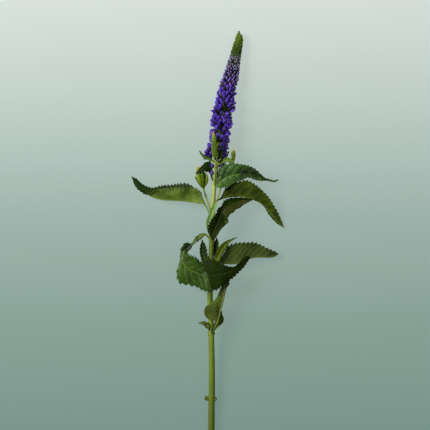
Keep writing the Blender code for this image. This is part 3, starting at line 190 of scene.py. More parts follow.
# How the leaves are laid
PETIOLE_WIDTH = 1.3
TOOTH_PITCH = 2.8
TOOTH_DEPTH = 1.6
TOOTH_REACH = 0.55         # how far from the midrib the teeth begin to pull, as a share of the width
ROWS_A_TOOTH = 7
PLAIN_ROW_PITCH = 0.4
FOOT_ROW_PITCH = 0.5
COLUMN_PITCH = 0.45
MOST_COLUMNS = 26
EDGE_STEPS = 60
TIP_GAP = 0.02
VEINS_A_SIDE = 9
LEAST_VEIN_PITCH = 2.6
MOST_VEIN_PITCH = 5.4
VEIN_LEAN = 0.8            # how far a side vein runs ahead for each mm away from the midrib
VEIN_BEND = 0.03
VEIN_WIDTH = 0.4
RIB_DEPTH = 0.2
FULL_RELIEF_WIDTH = 5.0    # a blade whose halves are narrower has flatter veins and waves
WAVE_HEIGHT = 0.35
ARCH_SHARE = 0.05          # how far each half of a blade is arched, as a share of its width
UPPER_FLOOR = 0.45         # how near to the surface the upper side of a leaf may come
UNDER_FLOOR = 0.02         # and how near its underside

# How the side spikes and their bracts are laid
STALK_RINGS = 40
HEAD_RINGS = 50
CORE_SHARE = 0.72          # radius of a side spike's core, as a share of its outline
FIRST_BUD = 0.15           # how far past the start of the head the buds begin, in points of the route
LAST_BUD = 0.5             # and how far before its tip they end
SIDE_RISE = 28             # rise of the buds from square at the foot of the head, in degrees,
SIDE_RISE_MORE = 50        # and how much more it is at the tip
BRACT_ROWS = 18
BRACT_COLUMNS = 6
BRACT_THICKNESS = 0.3

# Leaves: stalk points, rows across the blade and tip
LEAVES = {
    "left_leaf": dict(
        petiole=((3.2, 13.2, 12.6), (0.9, 16.9, 11.5), (-0.8, 20.5, 11.8)),
        rows=(
            ((-3.3, 25.6, 14.6), (-3.6, 23.0, 12.3), (-4.0, 26.4, 11.4)),
            ((-4.8, 30.6, 17.2), (-7.2, 23.4, 12.0), (-7.8, 31.6, 10.6)),
            ((-9.2, 33.1, 17.8), (-12.4, 24.2, 11.2), (-13.2, 35.9, 9.6)),
            ((-15.9, 33.0, 16.8), (-19.4, 24.9, 9.8), (-19.8, 36.2, 7.8)),
            ((-24.0, 33.2, 15.0), (-26.4, 25.2, 8.2), (-26.4, 35.3, 5.6)),
            ((-32.0, 32.4, 12.8), (-33.4, 25.8, 6.6), (-33.4, 34.8, 3.6)),
            ((-38.6, 30.6, 10.2), (-39.6, 27.8, 5.2), (-39.6, 33.4, 1.9)),
            ((-43.5, 28.6, 7.4), (-43.9, 31.0, 3.8), (-43.7, 34.8, 0.9)),
            ((-47.6, 30.9, 5.0), (-47.6, 33.8, 2.8), (-47.4, 37.0, 0.3)),
            ((-51.0, 34.2, 3.2), (-50.9, 36.9, 2.0), (-50.4, 39.8, 0.5)),
        ),
        tip=(-53.7, 41.5, 1.2),
    ),
    "right_upper_leaf": dict(
        petiole=((5.0, 33.4, 12.4), (5.7, 33.9, 13.8)),
        rows=(
            ((5.4, 35.2, 14.6), (5.7, 34.5, 14.3), (5.9, 33.5, 14.5)),
            ((6.4, 39.7, 15.0), (8.1, 36.6, 14.4), (8.2, 33.1, 14.2)),
            ((7.2, 45.0, 15.2), (10.7, 39.0, 14.3), (11.1, 33.2, 14.4)),
            ((9.6, 48.4, 15.6), (14.2, 41.0, 14.4), (14.2, 33.6, 14.2)),
            ((15.6, 50.1, 16.5), (19.1, 42.3, 14.4), (18.4, 36.3, 14.2)),
            ((22.0, 49.8, 17.4), (24.5, 43.0, 14.2), (23.2, 38.0, 14.1)),
            ((27.2, 48.8, 17.4), (29.6, 42.5, 13.6), (28.0, 40.2, 13.7)),
            ((32.4, 46.7, 16.2), (33.6, 41.6, 12.6), (33.6, 38.5, 12.7)),
            ((36.8, 43.2, 14.0), (37.2, 40.3, 11.6), (37.6, 38.0, 11.6)),
            ((40.2, 40.1, 11.8), (40.6, 39.2, 10.8), (40.8, 38.2, 11.1)),
            ((44.2, 39.0, 10.5), (44.2, 38.3, 10.2), (44.2, 37.6, 10.4)),
            ((47.0, 38.4, 10.1), (47.1, 37.8, 9.9), (47.2, 37.2, 10.0)),
        ),
        tip=(49.6, 38.9, 10.0),
    ),
    "right_arching_leaf": dict(
        petiole=((3.9, 23.6, 12.7), (6.4, 24.6, 12.2), (8.6, 25.6, 11.9)),
        rows=(
            ((10.4, 29.2, 10.2), (11.0, 26.4, 11.8), (11.4, 27.8, 12.6)),
            ((12.4, 33.2, 8.2), (15.0, 27.5, 11.4), (15.0, 30.8, 12.8)),
            ((16.6, 36.2, 6.8), (19.4, 27.9, 11.1), (17.8, 34.6, 12.8)),
            ((22.0, 37.4, 5.8), (24.0, 27.7, 10.6), (22.6, 37.3, 12.7)),
            ((27.2, 36.6, 5.2), (28.6, 26.7, 9.8), (27.2, 38.6, 12.4)),
            ((32.0, 31.8, 4.2), (33.4, 25.0, 8.7), (32.4, 36.0, 11.6)),
            ((36.2, 24.6, 3.8), (37.6, 22.7, 7.6), (37.6, 31.9, 12.0)),
            ((40.0, 19.6, 3.4), (41.4, 19.3, 6.2), (42.2, 27.4, 9.8)),
            ((43.4, 14.2, 2.6), (45.0, 15.2, 4.8), (45.8, 22.0, 7.6)),
            ((47.0, 9.8, 1.8), (48.6, 10.6, 3.2), (49.4, 15.8, 4.8)),
            ((50.4, 7.0, 1.2), (51.2, 7.9, 1.9), (52.0, 10.2, 2.5)),
        ),
        tip=(53.7, 5.4, 1.3),
    ),
    "right_back_leaf": dict(
        petiole=((2.9, -4.6, 12.4), (3.2, -3.4, 14.4)),
        rows=(
            ((2.0, -1.6, 15.4), (3.4, -2.0, 15.2), (4.8, -2.1, 15.3), (5.8, -1.8, 15.6)),
            ((0.5, 1.3, 16.4), (3.6, 0.8, 15.6), (5.8, 0.5, 15.6), (7.1, 0.6, 16.1)),
            ((-0.2, 4.4, 16.9), (4.4, 3.9, 15.4), (7.2, 3.6, 15.4), (8.8, 3.7, 16.2)),
            ((0.6, 7.3, 17.1), (5.8, 7.0, 14.8), (9.4, 6.5, 14.9), (11.4, 6.4, 16.2)),
            ((2.4, 10.4, 16.9), (7.2, 10.2, 14.2), (12.4, 9.5, 14.4), (14.4, 9.6, 16.4)),
            ((4.5, 13.1, 16.3), (8.2, 13.4, 13.4), (13.6, 12.0, 13.9), (12.4, 13.0, 16.6)),
            ((6.1, 15.9, 15.2), (9.0, 16.4, 12.6), (15.0, 13.6, 13.5), (10.8, 15.6, 16.6)),
            ((6.9, 18.5, 13.6), (9.9, 19.0, 11.8), (17.7, 15.9, 12.8), (12.0, 18.4, 16.0)),
            ((9.6, 20.6, 12.0), (12.4, 21.4, 10.9), (20.9, 18.3, 12.1), (15.2, 20.9, 15.0)),
            ((11.0, 23.7, 10.4), (15.6, 23.4, 9.9), (24.0, 20.5, 11.4), (19.2, 23.1, 14.0)),
            ((15.0, 25.9, 9.3), (20.2, 24.7, 9.4), (27.2, 22.5, 10.9), (24.0, 24.2, 13.2)),
            ((23.0, 26.4, 9.2), (26.4, 25.1, 9.6), (29.4, 23.8, 10.4), (29.2, 24.4, 12.2)),
        ),
        tip=(32.7, 25.4, 10.8),
        teeth=(-1,),
    ),
    "front_slim_leaf": dict(
        petiole=((2.9, -1.6, 12.5), (1.2, -0.2, 14.2)),
        rows=(
            ((0.1, 1.9, 15.0), (0.9, 1.6, 14.9), (1.9, 1.4, 15.1)),
            ((-0.8, 5.1, 15.2), (0.5, 5.2, 15.0), (2.4, 5.6, 15.3)),
            ((-1.2, 9.0, 15.3), (1.0, 9.6, 15.0), (3.5, 10.3, 15.4)),
            ((0.4, 13.8, 15.4), (2.3, 14.3, 15.0), (4.7, 14.6, 15.5)),
            ((2.3, 18.4, 15.5), (3.7, 18.7, 15.1), (5.5, 18.8, 15.6)),
            ((3.7, 21.6, 15.7), (4.8, 21.9, 15.4), (6.3, 22.0, 15.8)),
        ),
        tip=(5.9, 24.4, 15.9),
        teeth=(),
    ),
    "lower_left_leaf": dict(
        petiole=((2.8, -2.8, 12.4), (1.0, -2.1, 13.0)),
        rows=(
            ((-0.3, -1.5, 13.3), (-0.1, -0.8, 13.3), (0.2, -0.1, 13.5)),
            ((-2.1, -0.4, 13.5), (-2.2, 0.5, 13.8), (-2.5, 1.6, 13.5)),
            ((-4.2, -2.1, 13.2), (-4.4, -0.4, 14.0), (-5.3, 1.2, 13.2)),
            ((-6.5, -4.0, 13.0), (-7.2, -2.5, 13.8), (-8.4, -1.2, 13.0)),
            ((-8.9, -5.8, 12.9), (-9.3, -4.6, 13.4), (-9.9, -3.6, 12.9)),
            ((-10.9, -7.7, 12.7), (-11.4, -6.7, 13.0), (-12.1, -5.7, 13.0)),
            ((-11.9, -9.8, 12.6), (-13.2, -7.8, 12.6), (-14.1, -4.9, 13.8)),
            ((-13.6, -11.0, 12.4), (-16.2, -10.2, 12.6), (-18.4, -8.2, 13.6)),
            ((-14.0, -12.6, 12.8), (-17.6, -13.2, 13.6), (-19.2, -12.4, 12.8)),
            ((-13.2, -13.6, 13.2), (-18.0, -17.2, 14.4), (-20.0, -19.0, 12.6)),
            ((-11.2, -14.2, 13.6), (-16.0, -21.4, 14.4), (-21.8, -26.6, 12.6)),
            ((-8.6, -15.4, 13.4), (-12.4, -24.3, 14.2), (-20.0, -33.2, 12.4)),
            ((-5.6, -17.8, 12.3), (-7.8, -26.3, 13.8), (-13.4, -34.8, 12.4)),
            ((-2.6, -20.4, 12.6), (-4.2, -28.0, 13.4), (-8.0, -36.0, 12.8)),
            ((0.0, -24.8, 13.3), (-1.0, -30.6, 13.9), (-3.6, -38.4, 13.2)),
            ((1.4, -30.2, 14.1), (0.8, -34.0, 14.4), (-0.2, -39.4, 13.9)),
        ),
        tip=(3.0, -38.0, 14.2),
    ),
    "front_dark_leaf": dict(
        petiole=((2.2, -20.8, 11.8), (2.6, -23.4, 13.1), (1.7, -26.3, 14.5)),
        rows=(
            ((-1.9, -22.6, 15.6), (0.4, -27.0, 16.0), (1.3, -31.2, 15.6)),
            ((-3.6, -18.8, 17.4), (0.3, -27.6, 18.2), (1.7, -35.9, 17.4)),
            ((-0.6, -17.4, 18.0), (4.0, -27.5, 19.0), (4.6, -38.5, 18.0)),
            ((6.2, -17.9, 18.7), (9.4, -27.0, 19.6), (9.4, -36.0, 18.6)),
            ((11.6, -20.4, 19.8), (15.6, -25.0, 19.8), (15.4, -31.4, 18.6)),
            ((17.4, -22.2, 20.8), (20.6, -22.2, 19.8), (20.6, -26.9, 18.4)),
            ((22.4, -18.4, 20.6), (25.2, -19.0, 19.2), (24.8, -22.6, 18.0)),
            ((27.0, -14.6, 19.2), (28.4, -16.4, 18.4), (28.4, -17.8, 17.8)),
        ),
        tip=(30.4, -15.2, 17.8),
    ),
    "lower_right_leaf": dict(
        petiole=((2.3, -19.2, 11.9), (5.0, -19.2, 10.8)),
        rows=(
            ((8.0, -16.8, 8.8), (7.8, -18.9, 10.4), (8.4, -17.4, 12.0)),
            ((11.4, -12.6, 6.4), (11.8, -19.1, 10.0), (11.0, -13.8, 13.2)),
            ((15.4, -8.8, 4.2), (16.6, -19.4, 9.6), (14.2, -7.6, 14.4)),
            ((20.4, -7.0, 2.6), (21.4, -18.8, 9.3), (19.6, -5.4, 14.6)),
            ((26.0, -6.6, 1.5), (26.6, -16.6, 8.9), (25.6, -5.2, 14.2)),
            ((31.2, -7.4, 0.8), (31.8, -15.2, 8.3), (31.2, -4.9, 12.8)),
            ((36.2, -9.0, 0.3), (37.2, -14.9, 7.3), (36.8, -6.6, 10.8)),
            ((41.0, -11.2, 0.3), (42.4, -15.1, 5.9), (42.0, -9.2, 8.4)),
            ((45.6, -13.0, 1.4), (46.6, -14.7, 4.6), (46.6, -11.2, 5.8)),
        ),
        tip=(49.5, -12.8, 3.6),
    ),
    "small_left_leaf": dict(
        petiole=((2.3, -19.6, 12.0), (1.0, -18.6, 13.4)),
        rows=(
            ((-3.5, -18.9, 13.4), (-1.2, -18.3, 13.5), (1.0, -16.9, 14.3)),
            ((-4.9, -15.6, 13.6), (-2.8, -14.8, 13.5), (0.0, -13.7, 14.3)),
            ((-5.6, -11.6, 13.9), (-3.6, -10.9, 13.6), (-0.6, -10.2, 14.4)),
            ((-5.4, -7.9, 14.3), (-3.7, -7.4, 14.0), (-1.6, -6.7, 14.6)),
        ),
        tip=(-3.9, -3.2, 14.9),
    ),
    "small_dark_leaf": dict(
        petiole=((2.5, -17.2, 12.1), (4.7, -16.6, 11.6)),
        rows=(
            ((4.4, -15.5, 9.7), (5.4, -15.6, 10.6), (6.4, -15.4, 11.4)),
            ((4.1, -10.3, 9.6), (5.6, -10.3, 10.8), (7.1, -9.8, 12.0)),
            ((4.4, -5.4, 10.2), (6.0, -5.4, 11.3), (7.5, -5.0, 12.3)),
        ),
        tip=(6.2, -1.6, 12.6),
        teeth=(),
    ),
    "small_light_leaf": dict(
        petiole=((2.4, -19.6, 12.0), (4.2, -19.4, 14.0)),
        rows=(
            ((4.7, -17.9, 14.9), (6.1, -18.2, 14.6), (7.5, -18.0, 14.9)),
            ((5.1, -14.1, 15.6), (7.3, -15.1, 15.1), (9.0, -15.5, 15.6)),
            ((6.9, -9.3, 16.0), (9.2, -11.3, 15.5), (11.3, -11.9, 16.0)),
            ((10.1, -5.7, 16.4), (11.7, -7.7, 15.9), (13.4, -8.2, 16.4)),
            ((13.4, -3.6, 16.7), (14.2, -4.7, 16.4), (15.4, -5.0, 16.7)),
            ((16.8, -2.5, 16.9), (17.1, -3.0, 16.7), (17.5, -3.4, 16.9)),
        ),
        tip=(20.2, -1.5, 16.9),
        teeth=(),
    ),
    "base_leaf": dict(
        petiole=((2.6, -70.0, 9.0), (3.2, -68.6, 11.4)),
        rows=(
            ((2.2, -66.6, 12.3), (3.8, -66.6, 12.1), (5.2, -66.4, 11.9)),
            ((4.0, -62.6, 12.7), (5.6, -62.6, 12.5), (6.9, -62.0, 12.5)),
            ((4.8, -59.8, 13.0), (7.1, -59.2, 12.8), (8.1, -58.6, 12.9)),
            ((1.4, -59.1, 13.3), (7.8, -56.6, 13.1), (8.5, -56.1, 13.3)),
            ((-1.5, -57.0, 13.6), (8.4, -53.8, 13.5), (9.2, -53.4, 13.7)),
            ((-2.5, -53.4, 13.9), (9.0, -51.0, 13.9), (9.9, -50.6, 14.2)),
            ((-1.4, -49.9, 14.2), (9.5, -48.4, 14.4), (10.6, -48.0, 14.8)),
            ((2.0, -47.6, 14.6), (10.0, -45.8, 14.8), (11.3, -45.4, 15.2)),
            ((4.9, -45.0, 15.0), (10.6, -43.0, 15.1), (12.0, -42.4, 15.4)),
            ((6.9, -41.8, 15.4), (11.3, -40.0, 15.4), (12.6, -39.2, 15.5)),
            ((8.4, -38.4, 15.7), (12.1, -37.2, 15.5), (13.4, -36.6, 15.4)),
            ((9.9, -35.4, 15.8), (13.0, -34.7, 15.4), (15.2, -34.0, 15.2)),
        ),
        tip=(14.6, -31.5, 14.8),
        teeth=(),
    ),
    "base_small_leaf_left": dict(
        petiole=((2.3, -67.8, 9.2), (1.5, -66.6, 11.2)),
        rows=(
            ((0.9, -66.0, 11.9), (1.0, -64.4, 11.8), (1.5, -62.5, 12.1)),
            ((-0.9, -65.1, 12.3), (-1.0, -63.1, 11.8), (-0.5, -60.9, 12.6)),
            ((-2.9, -63.0, 12.4), (-3.0, -61.8, 12.0), (-2.9, -60.2, 12.7)),
            ((-4.7, -62.2, 12.3), (-4.7, -61.6, 12.1), (-4.7, -60.8, 12.5)),
        ),
        tip=(-6.5, -61.5, 12.2),
        teeth=(),
    ),
    "base_small_leaf_right": dict(
        petiole=((2.9, -68.6, 9.0), (5.0, -66.2, 8.8)),
        rows=(
            ((5.8, -64.1, 9.2), (6.8, -64.1, 8.9), (8.1, -63.7, 9.3)),
            ((7.0, -60.9, 9.6), (8.7, -61.0, 9.1), (10.7, -61.0, 9.8)),
            ((8.2, -57.8, 9.9), (9.4, -58.1, 9.5), (11.4, -58.6, 10.1)),
            ((8.9, -55.5, 10.1), (9.4, -55.7, 9.9), (10.3, -56.0, 10.2)),
        ),
        tip=(9.8, -53.4, 10.3),
        teeth=(),
    ),
    "left_toothed_leaf": dict(
        petiole=((4.9, 38.6, 12.0), (3.4, 38.8, 12.6)),
        rows=(
            ((2.8, 39.4, 12.8), (3.0, 40.1, 12.6), (3.3, 40.8, 12.9)),
            ((1.6, 42.9, 13.2), (2.4, 43.7, 12.8), (3.4, 45.1, 13.1)),
            ((0.5, 44.1, 14.2), (1.4, 46.5, 13.6), (3.1, 49.2, 13.6)),
            ((-1.0, 44.3, 15.6), (-0.2, 48.2, 14.9), (1.4, 51.8, 14.6)),
            ((-3.0, 44.4, 16.5), (-2.5, 47.8, 16.0), (-1.6, 51.0, 15.6)),
            ((-4.9, 43.9, 16.7), (-4.8, 46.0, 16.3), (-4.5, 48.3, 16.2)),
            ((-6.6, 43.4, 16.6), (-6.8, 44.3, 16.4), (-6.8, 45.3, 16.4)),
        ),
        tip=(-8.7, 43.1, 16.2),
    ),
    "left_bract": dict(
        petiole=((6.2, 50.6, 11.0), (4.8, 51.0, 12.9)),
        rows=(
            ((3.0, 51.6, 13.2), (3.2, 52.2, 13.0), (3.5, 52.8, 13.3)),
            ((1.0, 52.7, 13.5), (1.3, 53.4, 13.2), (1.6, 54.1, 13.6)),
            ((-1.9, 53.2, 13.8), (-1.4, 54.2, 13.4), (-1.0, 55.1, 13.9)),
            ((-4.0, 55.2, 13.8), (-3.5, 55.9, 13.5), (-3.0, 56.6, 13.9)),
        ),
        tip=(-5.9, 59.1, 13.8),
        teeth=(),
    ),
    "right_bract": dict(
        petiole=((6.5, 51.4, 10.8), (8.2, 51.6, 8.4)),
        rows=(
            ((9.6, 54.2, 5.8), (10.4, 53.3, 5.5), (11.3, 52.2, 5.8)),
            ((12.2, 56.4, 4.6), (12.9, 55.8, 4.3), (13.7, 54.9, 4.6)),
        ),
        tip=(15.0, 59.0, 4.2),
        teeth=(),
    ),
    "curled_bract": dict(
        petiole=((6.3, 49.6, 11.1), (7.8, 49.8, 13.4)),
        rows=(
            ((8.8, 50.9, 15.2), (9.4, 50.2, 14.9), (9.9, 49.6, 15.2)),
            ((10.5, 53.0, 17.2), (11.2, 51.9, 16.9), (11.8, 50.8, 17.2)),
            ((13.1, 54.3, 18.5), (13.4, 52.6, 18.2), (13.5, 50.9, 18.5)),
            ((15.8, 53.6, 19.0), (15.5, 52.1, 18.7), (15.2, 50.7, 19.0)),
            ((17.6, 52.2, 19.1), (17.0, 51.3, 18.9), (16.4, 50.3, 19.1)),
        ),
        tip=(18.9, 49.9, 19.0),
        teeth=(),
    ),
    "front_bract": dict(
        petiole=((6.6, 51.8, 10.8), (6.8, 52.4, 14.0), (7.3, 53.0, 17.2)),
        rows=(
            ((7.1, 54.5, 18.8), (8.3, 54.5, 18.4), (9.7, 54.8, 18.8)),
            ((8.0, 57.9, 19.4), (9.1, 58.0, 19.0), (10.5, 58.3, 19.4)),
        ),
        tip=(9.9, 61.6, 19.5),
        teeth=(),
    ),
}

# Side spikes in bud: centre line with radii, and the point where the head begins
SIDE_SPIKES = {
    "front_side_spike": dict(
        route=((4.6, 33.6, 12.4), (4.7, 36.6, 14.4), (4.9, 41.0, 15.8), (5.3, 47.0, 17.6),
               (5.3, 52.7, 19.6), (4.9, 55.2, 20.3), (4.8, 58.4, 20.8), (4.6, 62.0, 21.4),
               (4.4, 66.5, 21.9), (4.2, 70.0, 22.2), (4.0, 72.6, 22.4)),
        radii=(0.75, 0.75, 0.8, 0.8, 0.85, 1.6, 2.2, 1.95, 1.6, 1.1, 0.25),
        head_start=4, spacing=1.25, bud_length=1.6, flush=0.25,
    ),
    "right_side_spike": dict(
        route=((3.8, 21.6, 12.7), (5.9, 23.6, 14.4), (7.2, 26.8, 14.4), (8.6, 31.5, 12.6),
               (10.6, 37.6, 11.2), (13.6, 43.4, 11.2), (16.6, 48.8, 12.0), (17.5, 51.2, 12.4),
               (17.8, 53.6, 12.7), (17.9, 56.0, 13.0), (17.9, 58.4, 13.2), (17.9, 59.6, 13.3),
               (17.9, 61.2, 13.4)),
        radii=(0.6, 0.6, 0.6, 0.6, 0.6, 0.6, 0.7, 0.95, 1.45, 1.6, 1.15, 0.3, 0.15),
        head_start=6, spacing=1.1, bud_length=1.5, flush=0.2,
    ),
    "left_side_spike": dict(
        route=((3.3, 15.6, 12.7), (1.5, 18.2, 13.6), (0.2, 22.4, 13.2), (-1.4, 27.6, 12.4),
               (-2.8, 32.4, 11.8), (-3.2, 34.4, 11.8), (-3.8, 37.4, 11.9), (-4.3, 40.6, 12.0),
               (-5.2, 43.8, 12.2), (-6.6, 46.4, 12.4), (-7.8, 48.6, 12.6)),
        radii=(0.6, 0.6, 0.6, 0.6, 0.7, 1.5, 2.9, 3.4, 2.5, 1.3, 0.25),
        head_start=4, spacing=1.6, bud_length=2.4, flush=0.2,
        bracts=(
            (((-3.2, 33.0, 12.2), (-5.2, 35.6, 14.2), (-7.6, 39.2, 14.6), (-9.6, 42.0, 14.2)), 2.0, 0.1),
            (((-3.4, 33.4, 12.6), (-5.6, 37.6, 15.6), (-6.8, 42.4, 15.6), (-8.0, 47.4, 14.0)), 3.2, 0.9),
            (((-3.0, 33.6, 12.8), (-3.4, 38.0, 15.8), (-3.8, 42.4, 16.2), (-3.6, 46.0, 15.2)), 2.4, 0.3),
            (((-2.6, 33.8, 12.4), (-0.9, 37.2, 14.6), (-0.5, 40.4, 15.0), (-1.2, 44.2, 14.2)), 2.4, 0.65),
        ),
    ),
}

# Which upper side and underside each leaf has; both are alike on the light leaves
LEAF_FINISHES = {
    "left_leaf": ("deep", "pale"),
    "right_upper_leaf": ("glossy", "olive"),
    "right_arching_leaf": ("deep", "olive"),
    "right_back_leaf": ("dark", "tan"),
    "front_slim_leaf": ("light", "light"),
    "lower_left_leaf": ("shiny", "olive"),
    "front_dark_leaf": ("dark", "grey"),
    "lower_right_leaf": ("deep", "grey"),
    "small_left_leaf": ("deep", "olive"),
    "small_dark_leaf": ("deep", "olive"),
    "small_light_leaf": ("lime", "lime"),
    "base_leaf": ("dull", "olive"),
    "base_small_leaf_left": ("dull", "olive"),
    "base_small_leaf_right": ("lime", "olive"),
    "left_toothed_leaf": ("deep", "olive"),
    "left_bract": ("bright", "olive"),
    "right_bract": ("dark", "olive"),
    "curled_bract": ("soft", "soft"),
    "front_bract": ("dark", "olive"),
}

# Colours of the upper sides and undersides: dark ground, light ground and veins, then the roughness
# and gloss that an upper side has. The dull one is as matt as an underside, and is made as one.
LEAF_UPPERS = {
    "deep": ((14, 32, 0), (34, 58, 6), (66, 88, 20), 0.5, 0.12),
    "glossy": ((28, 58, 12), (68, 108, 38), (112, 142, 52), 0.38, 0.4),
    # painted shade: the dark green is darkened for leaves and bracts that face away from the light or lie
    # under others
    "dark": ((16, 30, 0), (28, 46, 2), (40, 56, 6), 0.55, 0.06),
    "shiny": ((24, 52, 2), (54, 86, 12), (120, 140, 52), 0.42, 0.26),
    "dull": ((54, 72, 18), (80, 98, 34), (138, 146, 66)),
    "bright": ((30, 58, 0), (58, 90, 12), (116, 138, 46), 0.42, 0.2),
    "light": ((82, 124, 42), (126, 164, 80), (164, 186, 108), 0.5, 0.15),
    "soft": ((54, 80, 18), (96, 126, 46), (134, 154, 74), 0.5, 0.15),
    "lime": ((44, 64, 0), (70, 90, 2), (116, 130, 32), 0.5, 0.1),
}
LEAF_UNDERS = {
    "olive": ((46, 64, 8), (74, 94, 20), (96, 114, 34)),
    "grey": ((56, 72, 26), (84, 102, 44), (108, 120, 56)),
    "pale": ((64, 88, 18), (118, 144, 60), (130, 152, 66)),
    "soft": ((54, 80, 18), (96, 126, 46), (134, 154, 74)),
    "light": ((78, 112, 30), (120, 150, 58), (150, 170, 88)),
    "lime": ((58, 78, 4), (88, 106, 14), (136, 148, 50)),
    "tan": ((66, 74, 24), (92, 98, 44), (112, 116, 58)),
}

# How strongly the veins of a leaf show, where it isn't in full
LEAF_RELIEF = {
    "left_leaf": 0.45, "right_arching_leaf": 0.5, "right_back_leaf": 0.35, "front_dark_leaf": 0.3,
    "lower_right_leaf": 0.3, "base_leaf": 0.4, "front_slim_leaf": 0.4, "small_light_leaf": 0.4,
    "small_left_leaf": 0.5, "left_toothed_leaf": 0.4,
}

# Painted shade and painted light on a leaf: X, Y, radius and strength, which is negative where light is
# painted
LEAF_PAINTED_SHADE_AND_LIGHT = {
    "right_arching_leaf": ((18.0, 30.0, 5.0, 0.52), (26.0, 32.0, 5.5, 0.55), (33.0, 30.5, 5.0, 0.5)),
    "right_upper_leaf": ((25.5, 43.5, 5.5, 0.7), (33.0, 43.0, 6.0, 0.7), (40.0, 40.0, 5.0, 0.6)),
    "right_back_leaf": ((12.8, 9.4, 1.6, -0.7), (12.4, 12.2, 1.3, -0.5), (6.6, 0.2, 1.0, -0.6),
                        (8.2, 2.6, 1.0, -0.6), (9.8, 5.0, 1.0, -0.6), (1.6, 3.2, 1.5, -0.35),
                        (2.8, 7.4, 1.5, -0.35), (5.0, 12.0, 1.4, -0.3)),
    "front_dark_leaf": ((3.0, -22.0, 4.0, -0.25), (8.0, -33.0, 3.0, -0.25)),
    "lower_left_leaf": ((-14.2, -8.4, 3.0, 1.0), (-12.8, -11.6, 2.0, 1.0)),
    "base_leaf": ((9.6, -37.0, 0.9, 1.0), (9.2, -38.6, 0.9, 1.0), (8.8, -40.2, 0.9, 1.0),
                  (8.3, -41.8, 0.8, 1.0), (7.0, -48.0, 1.4, 0.55), (6.8, -50.6, 1.7, 0.6),
                  (6.6, -53.2, 1.7, 0.6), (6.6, -55.8, 1.4, 0.55)),
    "base_small_leaf_left": ((-1.6, -62.6, 1.0, 0.7),),
}


def srgb(red, green, blue):
    """Linear colour from screen values of 0 to 255."""
    shares = [value / 255 for value in (red, green, blue)]
    return tuple(s / 12.92 if s <= 0.04045 else ((s + 0.055) / 1.055) ** 2.4 for s in shares)


# Painted shade and painted light on leaves: the dark shade and the light of upper sides, and the brown
# shade of undersides; then the strengths between which they show, and their shares there
PAINTED_SHADE = srgb(14, 22, 4)
PAINTED_LIGHT = srgb(62, 88, 26)
PAINTED_UNDER_SHADE = srgb(40, 34, 12)
PAINTED_SHADE_FADE = (0.15, 0.8, 0.0, 0.85)
PAINTED_LIGHT_FADE = (-0.8, -0.15, 0.85, 0.0)

# Values of the cloud pattern between which one colour gives way to the next
LEAF_BLOTS = (0.35, 0.68)
SOFT_BLOTS = (0.35, 0.7)
GRAIN = (0.35, 0.65)


# Routes and curves


def vectors(points):
    """The points as vectors."""
    return [Vector(point) for point in points]


def unit(array):
    """Directions of an array of vectors, each of length 1."""
    return array / np.maximum(np.linalg.norm(array, axis=-1, keepdims=True), 1e-9)


def smooth_step(low, high, value):
    """Goes smoothly from 0 at low to 1 at high."""
    share = np.clip((value - low) / (high - low), 0.0, 1.0)
    return share * share * (3.0 - 2.0 * share)


def curve_slope(points, k):
    """Direction of the smooth curve at its point k, for steps of equal speed."""
    rises = []
    for a in (k - 1, k):
        if 0 <= a < len(points) - 1:
            span = max((points[a + 1] - points[a]).length, 1e-6)
            rises.append(((points[a + 1] - points[a]) / span, span))
    if len(rises) == 1:
        return rises[0][0]
    (before, before_span), (after, after_span) = rises
    return (before * after_span + after * before_span) / (before_span + after_span)


def curve_point(points, u):
    """Point on a smooth curve through the points, with u counting them from 0."""
    i = min(int(u), len(points) - 2)
    t = u - i
    start, end = points[i], points[i + 1]
    span = max((end - start).length, 1e-6)
    square, cube = t * t, t * t * t
    return (start * (2 * cube - 3 * square + 1) + end * (3 * square - 2 * cube)
            + curve_slope(points, i) * (span * (cube - 2 * square + t))
            + curve_slope(points, i + 1) * (span * (cube - square)))


def curve_number(values, u):
    """Value read between listed ones, with u counting them from 0."""
    i = min(int(u), len(values) - 2)
    return values[i] + (values[i + 1] - values[i]) * (u - i)


def even_places(curves, start, end, count):
    """Places from start to end, counted in points, evenly spaced along the curves' mean length."""
    fine = 200
    marks = [start + (end - start) * k / fine for k in range(fine + 1)]
    lines = [[curve_point(curve, mark) for mark in marks] for curve in curves]
    lengths = [0.0]
    for k in range(fine):
        lengths.append(lengths[-1] + sum((line[k + 1] - line[k]).length for line in lines))
    wanted = [lengths[-1] * n / count for n in range(count + 1)]
    return [float(place) for place in np.interp(wanted, lengths, marks)]


def route_length(points):
    """Length of the straight steps between the points."""
    return sum((b - a).length for a, b in zip(points, points[1:]))


def tube_frame(route, u):
    """Place on a route, two directions square to it, the second one level, and the way ahead."""
    here = curve_point(route, u)
    ahead = curve_point(route, min(u + 0.05, len(route) - 1)) - curve_point(route, max(u - 0.05, 0))
    ahead.normalize()
    level = ahead.cross(Vector((0, 0, 1))).normalized()
    up = level.cross(ahead).normalized()
    return here, up, level, ahead


# Pieces


def clear_selection():
    """Leaves edit mode and selects nothing."""
    if bpy.context.object and bpy.context.object.mode != "OBJECT":
        bpy.ops.object.mode_set(mode="OBJECT")
    bpy.ops.object.select_all(action="DESELECT")


def only(piece):
    """Selects one piece and makes it the active one."""
    clear_selection()
    piece.select_set(True)
    bpy.context.view_layer.objects.active = piece


def named(piece, name):
    """Gives a piece and its mesh their name."""
    piece.name = piece.data.name = name
    return piece


def points_of(piece):
    """The piece's points in millimetres, as an array."""
    flat = np.empty(len(piece.data.vertices) * 3)
    piece.data.vertices.foreach_get("co", flat)
    return flat.reshape(-1, 3) / MM


def move_points(piece, points):
    """Moves the piece's points to those of an array, in millimetres."""
    piece.data.vertices.foreach_set("co", (points * MM).ravel())
    piece.data.update()


